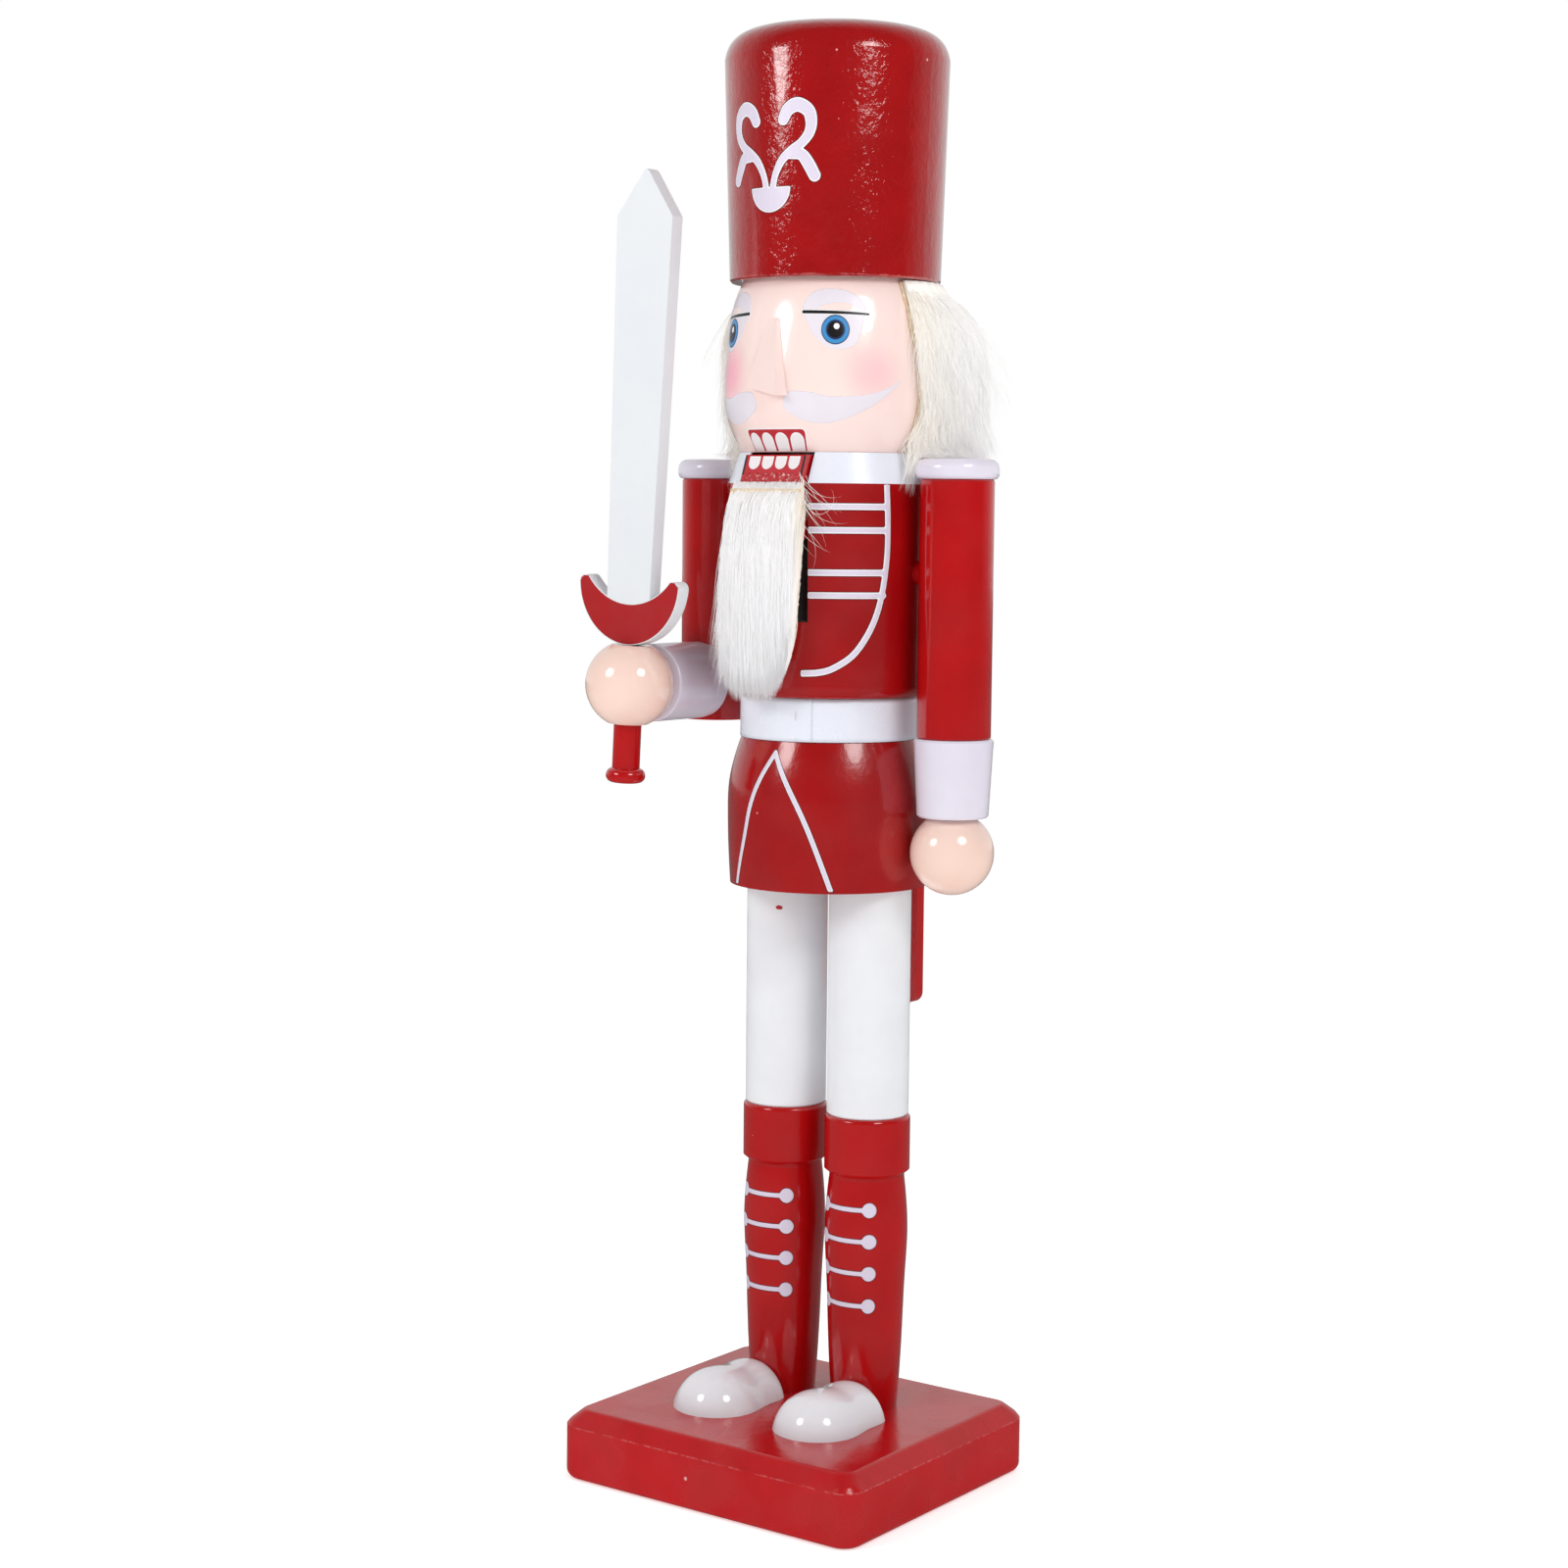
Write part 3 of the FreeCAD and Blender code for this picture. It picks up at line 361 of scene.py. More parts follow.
def enamels():
    """Every coat of enamel: its colour, its deeper tone, gloss, depth and scale of the peel,
    colour and share of the specks, weight of the clear coat, and what else is its own."""
    rows = [
        ("hat_enamel", RED, RED_DEEP, 0.13, 0.0003, 380.0, PALE_DUST, 0.05, 1.0,
         {"worn_and_highlit": ROSE_PRIMER_AND_HIGHLIGHT}),
        ("plinth_enamel", (190, 15, 22), (180, 11, 17), 0.24, 0.00008, 480.0, PALE_DUST, 0.09,
         0.2, {"worn_and_highlit": ROSE_PRIMER_AND_HIGHLIGHT}),
        ("chest_enamel", RED, RED_DEEP, 0.21, 0.0001, 420.0, PALE_DUST, 0.06, 0.5,
         {"over": darkened_slot}),
        ("red_enamel", (179, 10, 14), (170, 8, 12), 0.17, 0.00006, 420.0, PALE_DUST, 0.05, 0.5,
         {}),
        ("white_satin", (232, 234, 237), (228, 229, 233), 0.36, 0.00003, 700.0,
         (120, 108, 104), 0.02, 0.1, {}),
        ("sword_white", (222, 225, 228), (219, 222, 226), 0.46, 0.00003, 640.0,
         (128, 116, 112), 0.03, 0.0, {"specular": 0.25}),
        ("shoe_white", (238, 237, 241), (234, 232, 238), 0.12, 0.00002, 380.0,
         (150, 130, 126), 0.02, 0.7, {}),
        ("lavender_enamel", (224, 219, 231), (219, 213, 228), 0.18, 0.00003, 420.0,
         (160, 140, 150), 0.02, 0.5, {}),
        ("hand_flesh", (243, 212, 199), (240, 208, 194), 0.15, 0.00003, 380.0,
         (150, 110, 96), 0.015, 0.6, {}),
        ("face_flesh", (245, 221, 215), (243, 218, 211), 0.16, 0.00006, 460.0,
         (150, 118, 108), 0.02, 0.35, {"over": rouged}),
    ]
    coats = {}
    for name, colour, deep, gloss, peel, scale, speck, share, coat, own in rows:
        coats[name] = paint(name, shade(*colour), shade(*deep), gloss, peel, scale,
                            shade(*speck), share, coat, **own)
    return coats


def vinyl_strip():
    material, tree, surface = finish_named("vinyl_strip", Coat_Weight=0.15, Coat_Roughness=0.1)
    tone = use(tree, DRIFT, Scale=90.0)["Tone"]
    dot = use(tree, SPECKS, Scale=260.0, Share=0.02)["Mask"]
    base = blended(tree, tone, shade(228, 231, 241), shade(224, 228, 238))
    base = blended(tree, dot, base, shade(120, 110, 112))
    tree.links.new(base, surface.inputs["Base Color"])
    tree.links.new(mixed(tree, tone, 0.18, 0.3), surface.inputs["Roughness"])
    relief(tree, surface, use(tree, RIPPLE, Scale=150.0)["Height"], 0.00006)
    return material


def grained(name, pale, dark, scale, gloss, depth, **sockets):
    """Wood's grain, or the drawn lines of a steel rod."""
    material, tree, surface = finish_named(name, **sockets)
    grain = use(tree, GRAIN, Scale=scale)
    tree.links.new(blended(tree, grain["Tone"], pale, dark), surface.inputs["Base Color"])
    tree.links.new(mixed(tree, grain["Tone"], *gloss), surface.inputs["Roughness"])
    relief(tree, surface, grain["Height"], depth)
    return material


def print_ink(name, colour):
    """Flat printed paint, a little uneven where it was pressed on."""
    material, tree, surface = finish_named(name, Coat_Weight=0.15, Coat_Roughness=0.2)
    tone = use(tree, DRIFT, Scale=140.0)["Tone"]
    thin = tuple(c * 0.97 for c in colour[:3]) + (1.0,)
    tree.links.new(blended(tree, tone, colour, thin), surface.inputs["Base Color"])
    tree.links.new(mixed(tree, tone, 0.33, 0.45), surface.inputs["Roughness"])
    relief(tree, surface, use(tree, RIPPLE, Scale=300.0)["Height"], 0.00001)
    return material


def pile(name, clean, cream, painted_glow):
    """Long straight fur: each hair carries its own tone, and gives off a painted glow in that
    tone, standing in for light scattered through the fur.
    """
    material, tree, surface = finish_named(name, Roughness=0.5, Specular_IOR_Level=0.3,
                                           Sheen_Weight=0.2, Sheen_Roughness=0.4,
                                           Emission_Strength=painted_glow)
    tone = put(tree, "ShaderNodeAttribute", attribute_name="tone").outputs["Fac"]
    streak = noise(tree, stretched(tree, object_place(tree), 0.15), 1400.0, 2.0)
    share = sums(tree, "ADD", tone, sums(tree, "MULTIPLY_ADD", streak, 0.3, -0.15), clamp=True)
    coloured = blended(tree, share, clean, cream)
    tree.links.new(coloured, surface.inputs["Base Color"])
    tree.links.new(coloured, surface.inputs["Emission Color"])
    relief(tree, surface, streak, 0.00003)
    return material


def hide_backing():
    """Tan knitted backing of the fur strips."""
    material, tree, surface = finish_named("hide_backing", Roughness=0.85)
    blotch = noise(tree, object_place(tree), 900.0, 3.0, 0.6)
    base = blended(tree, ramp(tree, blotch, 0.35, 0.65), shade(238, 220, 192),
                   shade(220, 194, 160))
    tree.links.new(base, surface.inputs["Base Color"])
    relief(tree, surface, blotch, 0.00015)
    return material


def glue_red():
    """Dried glue, painted over with the mouth."""
    material, tree, surface = finish_named("glue_red")
    lump = noise(tree, object_place(tree), 1100.0, 3.0, 0.65)
    base = blended(tree, ramp(tree, lump, 0.56, 0.66), shade(178, 18, 30), shade(236, 214, 210))
    tree.links.new(base, surface.inputs["Base Color"])
    tree.links.new(ramp(tree, lump, 0.3, 0.7, 0.2, 0.6), surface.inputs["Roughness"])
    relief(tree, surface, lump, 0.0003)
    return material


def floor_paper():
    material, tree, surface = finish_named("floor_paper", Roughness=0.9, Specular_IOR_Level=0.1,
                                           Emission_Strength=0.46)
    tone = use(tree, DRIFT, Scale=3.0)["Tone"]
    paper = blended(tree, tone, (0.985, 0.985, 0.985, 1), (0.98, 0.98, 0.98, 1))
    mirrored_in_gloss = put(tree, "ShaderNodeLightPath").outputs["Is Glossy Ray"]
    paper = blended(tree, mirrored_in_gloss, paper, (0.13, 0.13, 0.13, 1))
    tree.links.new(paper, surface.inputs["Base Color"])
    tree.links.new(paper, surface.inputs["Emission Color"])
    return material


# ------------ meshes and faces to paint on

def sheet_mesh(name, points, faces, material, smooth=True):
    mesh = bpy.data.meshes.new(name)
    mesh.from_pydata([tuple(p) for p in points], [], faces)
    mesh.materials.append(material)
    mesh.polygons.foreach_set("use_smooth", [smooth] * len(mesh.polygons))
    mesh.update()
    piece = bpy.data.objects.new(name, mesh)
    bpy.context.scene.collection.objects.link(piece)
    return piece


def middle_of(node):
    low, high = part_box(node)
    return (low + high) / 2


def solid_of(node):
    mesh = NODES[node].data
    return BVHTree.FromPolygons([v.co for v in mesh.vertices],
                                [tuple(p.vertices) for p in mesh.polygons])


def wrapped_on(node, radius, turn=0.0):
    """Places marks on a turned face: u is the way round, in mm at the radius given, z the height
    in mm. turn, in degrees, is where u is nought, from the front towards the left arm."""
    solid, axis = solid_of(node), middle_of(node)

    def place(u, z):
        angle = u / radius + math.radians(turn)
        outward = Vector((math.sin(angle), -math.cos(angle), 0))
        start = Vector((axis.x, axis.y, z * MM)) + outward * 0.15
        return solid.ray_cast(start, -outward)[0], outward

    return place


def square_on(node):
    """Places marks on the front of a piece, straight back from u, z in mm."""
    solid = solid_of(node)

    def place(u, z):
        ahead = Vector((0, -1, 0))
        return solid.ray_cast(Vector((u * MM, -0.15, z * MM)), -ahead)[0], ahead

    return place


def radius_at(node):
    """Function of angle in degrees and height in mm: a turned piece's radius there, in mm."""
    place, axis = wrapped_on(node, 180 / math.pi), middle_of(node)

    def radius(angle, z):
        hit = place(angle, z)[0]
        return math.hypot(hit.x - axis.x, hit.y - axis.y) / MM

    return radius


# ------------ outlines of the painted marks
# Each is a function of u and z, in mm, that is below zero inside the mark and grows with the
# distance outside it, so that one outline gives the fill and every border round it.

def eased(points, closed=False):
    """Smooth curve through the points, in as many columns as they have."""
    per_span = 6
    knots = np.array(points, float)
    if closed:
        knots = np.vstack([knots[-1], knots, knots[:2]])
    else:
        knots = np.vstack([2 * knots[0] - knots[1], knots, 2 * knots[-1] - knots[-2]])
    t = np.linspace(0, 1, per_span, endpoint=False)[:, None]
    spans = []
    for a, b, c, d in zip(knots[:-3], knots[1:-2], knots[2:-1], knots[3:]):
        spans.append(0.5 * (2 * b + (c - a) * t + (2 * a - 5 * b + 4 * c - d) * t ** 2
                            + (3 * b - a - 3 * c + d) * t ** 3))
    if not closed:
        spans.append(knots[-2][None])
    return np.vstack(spans)


def span_gap(u, z, a, b):
    """Distance to the straight span from a to b, and how far along it."""
    du, dz = b[0] - a[0], b[1] - a[1]
    along = np.clip(((u - a[0]) * du + (z - a[1]) * dz) / (du * du + dz * dz + 1e-12), 0, 1)
    return np.hypot(u - a[0] - along * du, z - a[1] - along * dz), along


def stroke(points, half=None):
    """Brush stroke through points (u, z, half width), or of one half width."""
    rows = [(*p[:2], half) if half else p for p in points]
    track = eased(rows) if len(rows) > 2 else np.array(rows, float)

    def outline(u, z):
        best = np.full(u.shape, 1e3)
        for a, b in zip(track[:-1], track[1:]):
            gap, along = span_gap(u, z, a, b)
            best = np.minimum(best, gap - (a[2] + along * (b[2] - a[2])))
        return best

    return outline


def blob(points):
    """Smooth closed patch through the points."""
    ring = eased(points, closed=True)

    def outline(u, z):
        best = np.full(u.shape, 1e3)
        inside = np.zeros(u.shape, bool)
        for a, b in zip(ring, np.roll(ring, -1, axis=0)):
            best = np.minimum(best, span_gap(u, z, a, b)[0])
            spans = (a[1] > z) != (b[1] > z)
            rise = b[1] - a[1] if b[1] != a[1] else 1e-9
            inside ^= spans & (u < a[0] + (z - a[1]) / rise * (b[0] - a[0]))
        return np.where(inside, -best, best)

    return outline


def dot(u0, z0, radius):
    return lambda u, z: np.hypot(u - u0, z - z0) - radius


def panel(u0, u1, z0, z1, corner=0.01):
    """Rectangle with rounded corners."""
    def outline(u, z):
        du = np.abs(u - (u0 + u1) / 2) - (u1 - u0) / 2 + corner
        dz = np.abs(z - (z0 + z1) / 2) - (z1 - z0) / 2 + corner
        return (np.hypot(np.maximum(du, 0), np.maximum(dz, 0))
                + np.minimum(np.maximum(du, dz), 0) - corner)
    return outline


def joined(*outlines):
    return lambda u, z: np.minimum.reduce([f(u, z) for f in outlines])


def without(outline, hole):
    return lambda u, z: np.maximum(outline(u, z), -hole(u, z))


def kept_in(outline, frame_outline):
    return lambda u, z: np.maximum(outline(u, z), frame_outline(u, z))


def mirrored(outline):
    return lambda u, z: outline(np.abs(u), z)


# ------------ laying the marks on

def cut_out(value, us, zs):
    """Points, faces and rim of the part of a grid where value is below zero."""
    points, index, faces, rim = [], {}, [], []

    def corner(a):
        if a not in index:
            index[a] = len(points)
            points.append((us[a[0]], zs[a[1]]))
        return index[a]

    def crossing(a, b):
        a, b = min(a, b), max(a, b)
        if (a, b) not in index:
            share = value[a] / (value[a] - value[b])
            index[a, b] = len(points)
            points.append((us[a[0]] + share * (us[b[0]] - us[a[0]]),
                           zs[a[1]] + share * (zs[b[1]] - zs[a[1]])))
        return index[a, b]

    inside = value < 0
    touched = inside[:-1, :-1] | inside[1:, :-1] | inside[:-1, 1:] | inside[1:, 1:]
    for i, j in np.argwhere(touched):
        ring = [(i, j), (i + 1, j), (i + 1, j + 1), (i, j + 1)]
        loop, leaves = [], []
        for a, b in zip(ring, ring[1:] + ring[:1]):
            if inside[a]:
                loop.append(corner(a))
            if inside[a] != inside[b]:
                loop.append(crossing(a, b))
                if inside[a]:
                    leaves.append(len(loop) - 1)
        faces.append(loop)
        rim += [(loop[k], loop[(k + 1) % len(loop)]) for k in leaves]
    return points, faces, rim


def lay(name, place, outline, window, step, lift, material, slot, body="figure"):
    """Closed film of paint: the outline's inside, laid on the face and raised by lift mm."""
    u0, u1, z0, z1 = window
    us = np.arange(u0, u1 + step, step)
    zs = np.arange(z0, z1 + step, step)
    value = outline(*np.meshgrid(us, zs, indexing="ij"))
    value[[0, -1], :] = np.maximum(value[[0, -1], :], 1e-3)
    value[:, [0, -1]] = np.maximum(value[:, [0, -1]], 1e-3)
    flat, faces, rim = cut_out(value, us, zs)
    spots = [place(u, z) for u, z in flat]
    lost = {k for k, (hit, _) in enumerate(spots) if hit is None}
    faces = [f for f in faces if not lost.intersection(f)]
    rim = [r for r in rim if not lost.intersection(r)]
    sunk = 0.03
    top = [(hit or Vector()) + outward * lift * MM for hit, outward in spots]
    bottom = [(hit or Vector()) - outward * sunk * MM for hit, outward in spots]
    count = len(top)
    skin = [tuple(f) for f in faces] + [tuple(k + count for k in reversed(f)) for f in faces]
    walls = [(b, a, a + count, b + count) for a, b in rim]
    piece = sheet_mesh(name, top + bottom, skin + walls, material)
    for face in piece.data.polygons[len(skin):]:
        face.use_smooth = False
    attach(piece, body)
    return piece


def grown(outline, by):
    return lambda u, z: outline(u, z) - by


def lay_stack(place, window, coats, body="figure", lift=0.03, rise=0.03):
    """Films one on another: each coat is its name, outline, step, ink and slot."""
    for name, outline, step, colour, slot in coats:
        lay(name, place, outline, window, step, lift, INK[colour], slot, body)
        lift += rise


def lay_bordered(name, place, outline, window, step, white=0.34, dark=0.2):
    """Lavender mark with a white border and a thin dark line round it."""
    lay_stack(place, window, [
        (name + "_outline", grown(outline, white + dark), step, "ink_dark", "red_enamel"),
        (name + "_border", grown(outline, white), step, "ink_white", "white_gloss"),
        (name + "_fill", outline, step, "ink_lavender", "lavender_enamel")])


INK = {name: print_ink(name, shade(*levels)) for name, levels in (
    ("ink_dark", (92, 10, 18)), ("ink_white", (240, 238, 241)),
    ("ink_lavender", (217, 208, 226)), ("ink_black", (22, 18, 20)),
    ("ink_navy", (28, 52, 96)), ("ink_blue", (58, 138, 198)), ("ink_eye", (227, 220, 229)),
    ("ink_tooth", (232, 226, 228)), ("ink_mouth", (186, 14, 32)), ("guard_red", (170, 10, 18)))}


def paint_hat():
    """Sprig printed on the front of the hat: cup, two stems, each a leaf and a curl."""
    place = wrapped_on("hat", 28.4, turn=-1.35)
    stem = stroke([(1.0, 337.9, 0.6), (1.9, 341.4, 0.6), (3.9, 344.9, 0.75), (6.6, 347.1, 0.9),
                   (9.3, 348.9, 0.9), (11.3, 351.4, 1.0), (11.8, 354.2, 1.15),
                   (11.0, 356.9, 1.3), (8.3, 358.4, 1.45), (5.7, 357.3, 1.35),
                   (4.3, 354.9, 1.15)])
    leaf = stroke([(6.4, 346.3, 0.95), (9.2, 346.1, 1.15), (11.0, 343.9, 1.25),
                   (12.7, 340.8, 1.2)])
    cup = kept_in(dot(0, 338.3, 5.9), panel(-7, 7, 330, 338.0))
    sprig = mirrored(joined(stem, leaf, cup))
    lay_bordered("hat_sprig", place, sprig, (-17, 17, 330, 362), 0.3)


def paint_eyes(place):
    lid_height = 307.0
    patch = blob([(9.3, 306.8), (9.3, 309.4), (11.6, 312.0), (15.6, 312.9), (20.5, 312.5),
                  (24.4, 310.8), (26.3, 308.3), (25.8, 305.9), (24.9, 302.4), (23.2, 298.9),
                  (20.0, 297.6), (16.4, 298.0), (13.1, 300.2), (11.2, 303.0)])
    lid = kept_in(blob([(12.6, 305.5), (13.8, 308.2), (18.1, 309.3), (23.0, 308.6),
                        (25.2, 305.5), (19, 304)]), panel(0, 40, lid_height, 320))
    window = (-30, 30, 296, 315)
    lay("eye_whites", place, mirrored(without(patch, lid)), window, 0.3, 0.03, INK["ink_eye"],
        "white_satin")
    line = stroke([(9.3, lid_height, 0.42), (20, 306.8, 0.36), (27.0, 306.5, 0.24)])
    lay_stack(place, window, [
        ("lid_edges", mirrored(grown(line, 0.28)), 0.25, "ink_white", "white_satin"),
        ("lid_lines", mirrored(line), 0.25, "ink_black", "white_satin")], lift=0.05)
    across, height = 18.0, 302.5
    rings = [("iris_rim", 3.72, "ink_navy"), ("iris", 3.5, "ink_blue"),
             ("iris_ring", 2.5, "ink_navy"), ("pupil", 2.05, "ink_black")]
    coats = [(name, mirrored(dot(across, height, radius)), 0.25, ink, "white_satin")
             for name, radius, ink in rings]
    glints = joined(*(dot(side + 0.3, height + 0.85, 0.78) for side in (across, -across)))
    coats.append(("eye_glints", glints, 0.2, "ink_white", "white_gloss"))
    lay_stack(place, window, coats, lift=0.10)


def paint_moustache(place):
    half = stroke([(7.2, 284.2, 2.95), (11.3, 283.1, 3.7), (15.5, 282.4, 3.4),
                   (20.1, 282.9, 2.86), (24.0, 283.8, 2.14), (27.6, 285.0, 1.5),
                   (30.9, 286.6, 0.89), (34.1, 288.6, 0.36), (36.5, 290.3, 0.05)])
    lay("moustache", place, mirrored(half), (-39, 39, 277, 293), 0.35, 0.04, INK["ink_eye"],
        "white_satin")


def paint_upper_teeth(place):
    frame_shape = panel(-10.3, 9.8, 270.5, 277.5, corner=1.0)
    above_edge = panel(-20, 20, 272.05, 290)
    teeth = [stroke([(middle, 270.0), (middle, 274.6)], half=2.1)
             for middle in (-7.8, -2.8, 2.2, 7.2)]
    teeth_shape = kept_in(joined(*teeth), above_edge)
    mouth_edge = kept_in(grown(frame_shape, 0.35), above_edge)
    lay_stack(place, (-12, 12, 271.5, 279), [
        ("upper_mouth_edge", mouth_edge, 0.25, "ink_white", "white_satin"),
        ("upper_mouth", kept_in(frame_shape, above_edge), 0.25, "ink_mouth", "red_enamel"),
        ("upper_teeth_edges", grown(teeth_shape, 0.02), 0.2, "ink_white", "white_gloss"),
        ("upper_teeth", grown(teeth_shape, -0.35), 0.2, "ink_tooth", "white_gloss")])


def paint_lower_teeth():
    place = square_on("jaw_lever")
    jaw_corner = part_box("jaw_lever")[1]
    top, side = jaw_corner.z / MM - 0.25, jaw_corner.x / MM
    bevel = panel(-side + 0.25, side - 0.25, 263.8, top)
    window = (-side, side, 263, top + 0.4)
    teeth = [stroke([(middle, 276.0), (middle, 269.1)], half=1.72)
             for middle in (-6.35, -2.15, 2.05, 6.25)]
    teeth_shape = kept_in(joined(*teeth), panel(-20, 20, 260, top - 0.15))
    lay_stack(place, window, [
        ("lower_mouth", bevel, 0.25, "ink_mouth", "red_enamel"),
        ("lower_teeth_edges", teeth_shape, 0.2, "ink_white", "white_gloss"),
        ("lower_teeth", grown(teeth_shape, -0.3), 0.2, "ink_tooth", "white_gloss")], "jaw")
    # Near-black lines down both sides of the jaw's front, next to the slot's walls.
    sides = joined(*(stroke([(s * (side - 0.35), 263), (s * (side - 0.35), 272)], half=0.3)
                     for s in (-1, 1)))
    lay("jaw_side_lines", place, kept_in(sides, panel(-20, 20, 250.5, top)), window, 0.2, 0.05,
        INK["ink_black"], "red_enamel", "jaw")


def paint_face():
    place = wrapped_on("head", 28.8)
    paint_eyes(place)
    paint_moustache(place)
    paint_upper_teeth(place)
    paint_lower_teeth()


def paint_torso():
    """Frogging on the chest and the parted hem of the coat."""
    chest, half = 27.5, 0.5
    place = wrapped_on("torso", chest)
    arc = chest * math.pi / 180
    edge = [(65.4, 263.6), (66.4, 254.7), (66.5, 247.2), (65.0, 239.7), (61.7, 232.2),
            (56.2, 226.0), (47.6, 220.3), (37.0, 216.9), (29.0, 215.7), (19.8, 215.4)]
    seam = stroke([(angle * arc, z) for angle, z in edge], half=half)
    bars = [stroke([(8.0, z), (64.5 * arc, z)], half=half) for z in (258, 252, 241.2, 235.4)]
    clear_of_slot = panel(11.05, 60, 200, 263.8)
    low_end = kept_in(seam, panel(9.3, 40, 200, 230))
    frogging = joined(kept_in(joined(seam, *bars), clear_of_slot), low_end)
    lay_bordered("chest_frogging", place, mirrored(frogging), (-36, 36, 212, 264.6), 0.4,
                 white=0.32)
    hem = 159.4
    parted = joined(stroke([(0.24, 194.5), (9.9, 178), (18.3, hem - 2)], half=0.42),
                    stroke([(0.24, 194.5), (-3.6, 187.8), (-7.0, 180), (-9.9, 170.8),
                            (-15.0, hem - 1)], half=0.42))
    lay_bordered("coat_parting", place, kept_in(parted, panel(-40, 40, hem, 220)),
                 (-18, 21, 158.8, 197), 0.35, white=0.24)


def paint_guard():
    """Red crescent on the front of the guard, leaning with the sword about the right hand."""
    hand, tilt = middle_of("right_hand") / MM, math.radians(2.9)
    foot = 10.37                   # the guard's lowest point above the hand's middle
    disc, hollow = 16.7, 17.3      # radii of its outer and inner edges
    web = 10.8                     # board between its lowest point and its hollow
    margin = 0.25                  # bare board left round the paint

    def crescent(u, z):
        across, up = u - hand.x, z - hand.z
        x = across * math.cos(tilt) - up * math.sin(tilt)
        h = across * math.sin(tilt) + up * math.cos(tilt) - foot
        outer = np.hypot(x, h - disc) - disc + margin
        return np.maximum(outer, hollow + margin - np.hypot(x, h - web - hollow))

    window = (hand.x - 19, hand.x + 19, hand.z + 8, hand.z + 34)
    lay("guard_face", square_on("sword_blade"), crescent, window, 0.35, 0.05,
        INK["guard_red"], "red_enamel")


def paint_boots():
    for side in ("left", "right"):
        place = wrapped_on(side + "_boot", 11.05)
        laces = []
        for z in (73.7, 65.3, 56.6, 47.8):
            laces.append(stroke([(-7.5, z), (7.5, z)], half=0.5))
            laces += [dot(-7.5, z, 1.85), dot(7.5, z, 1.85)]
        lay_stack(place, (-11, 11, 44, 78), [
            (side + "_lace_outline", grown(joined(*laces), 0.28), 0.3, "ink_dark", "red_enamel"),
            (side + "_laces", grown(joined(*laces), 0.1), 0.3, "ink_lavender",
             "lavender_enamel")], rise=0.04)


def paint_chips():
    """A splash of red that strayed on to the right trouser leg."""
    place = wrapped_on("right_trouser_leg", 10.9, turn=24)
    lay("trouser_chip", place, blob([(-0.9, 151.7), (-0.2, 152.3), (0.9, 152.0), (0.8, 151.3),
                                     (-0.3, 151.2)]), (-2, 2, 150, 154), 0.15, 0.04,
        INK["ink_mouth"], "red_enamel")


# ------------ bands and backings

def closed_skin(name, points, rows, columns, material):
    """Outer grid of points, then the inner one, as one closed piece with walls round its rim."""
    count = rows * columns
    faces = []
    for i in range(rows - 1):
        for j in range(columns - 1):
            a = i * columns + j
            faces.append((a, a + 1, a + columns + 1, a + columns))
            faces.append(tuple(k + count for k in (a, a + columns, a + columns + 1, a + 1)))
    rim = list(range(columns)) + [i * columns + columns - 1 for i in range(1, rows)]
    rim += [(rows - 1) * columns + j for j in range(columns - 2, -1, -1)]
    rim += [i * columns for i in range(rows - 2, 0, -1)]
    faces += [(b, a, a + count, b + count) for a, b in zip(rim, rim[1:] + rim[:1])]
    return sheet_mesh(name, points, faces, material)


def shell(name, angles, heights, inner, outer, axis, material):
    """Closed skin between two surfaces round an axis, given as radii in mm over angles in
    degrees (one row of angles to each height) and heights in mm."""
    points = []
    for surface in (outer, inner):
        for row, z in enumerate(heights):
            for angle in angles[row]:
                reach = surface(angle, z) * MM
                turn = math.radians(angle)
                points.append((axis.x + reach * math.sin(turn), axis.y - reach * math.cos(turn),
                               z * MM))
    return closed_skin(name, points, len(heights), angles.shape[1], material)


def make_belt():
    """Vinyl strip wound once round the waist, its end lapped over its start."""
    low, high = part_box("belt_band")
    outside = (high.x - low.x) / 2 / MM
    seam, lap, thick = 13.0, 11.0, 0.45
    heights = np.linspace(low.z / MM, high.z / MM, 9)
    angles = np.tile(np.linspace(seam, seam + 360 + lap, 190), (len(heights), 1))

    def lifted(angle, z):
        over = max(0.0, (angle - seam - 360) / lap)
        wave = 0.035 * math.sin(angle / 9.0) * math.sin(z * 0.9)
        return min(1.0, 2.5 * over) * 0.14 + over ** 3 * 0.08 + wave

    belt = shell("belt", angles, heights, lambda a, z: outside - thick + lifted(a, z),
                 lambda a, z: outside + lifted(a, z), (low + high) / 2, VINYL)
    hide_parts("belt_band")
    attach(belt, "figure")


# ------------ fur

HAIRS = 7000                       # in each fall of fur
HAIR_HALF_WIDTH = (0.05, 0.105)    # thinnest and thickest, in mm


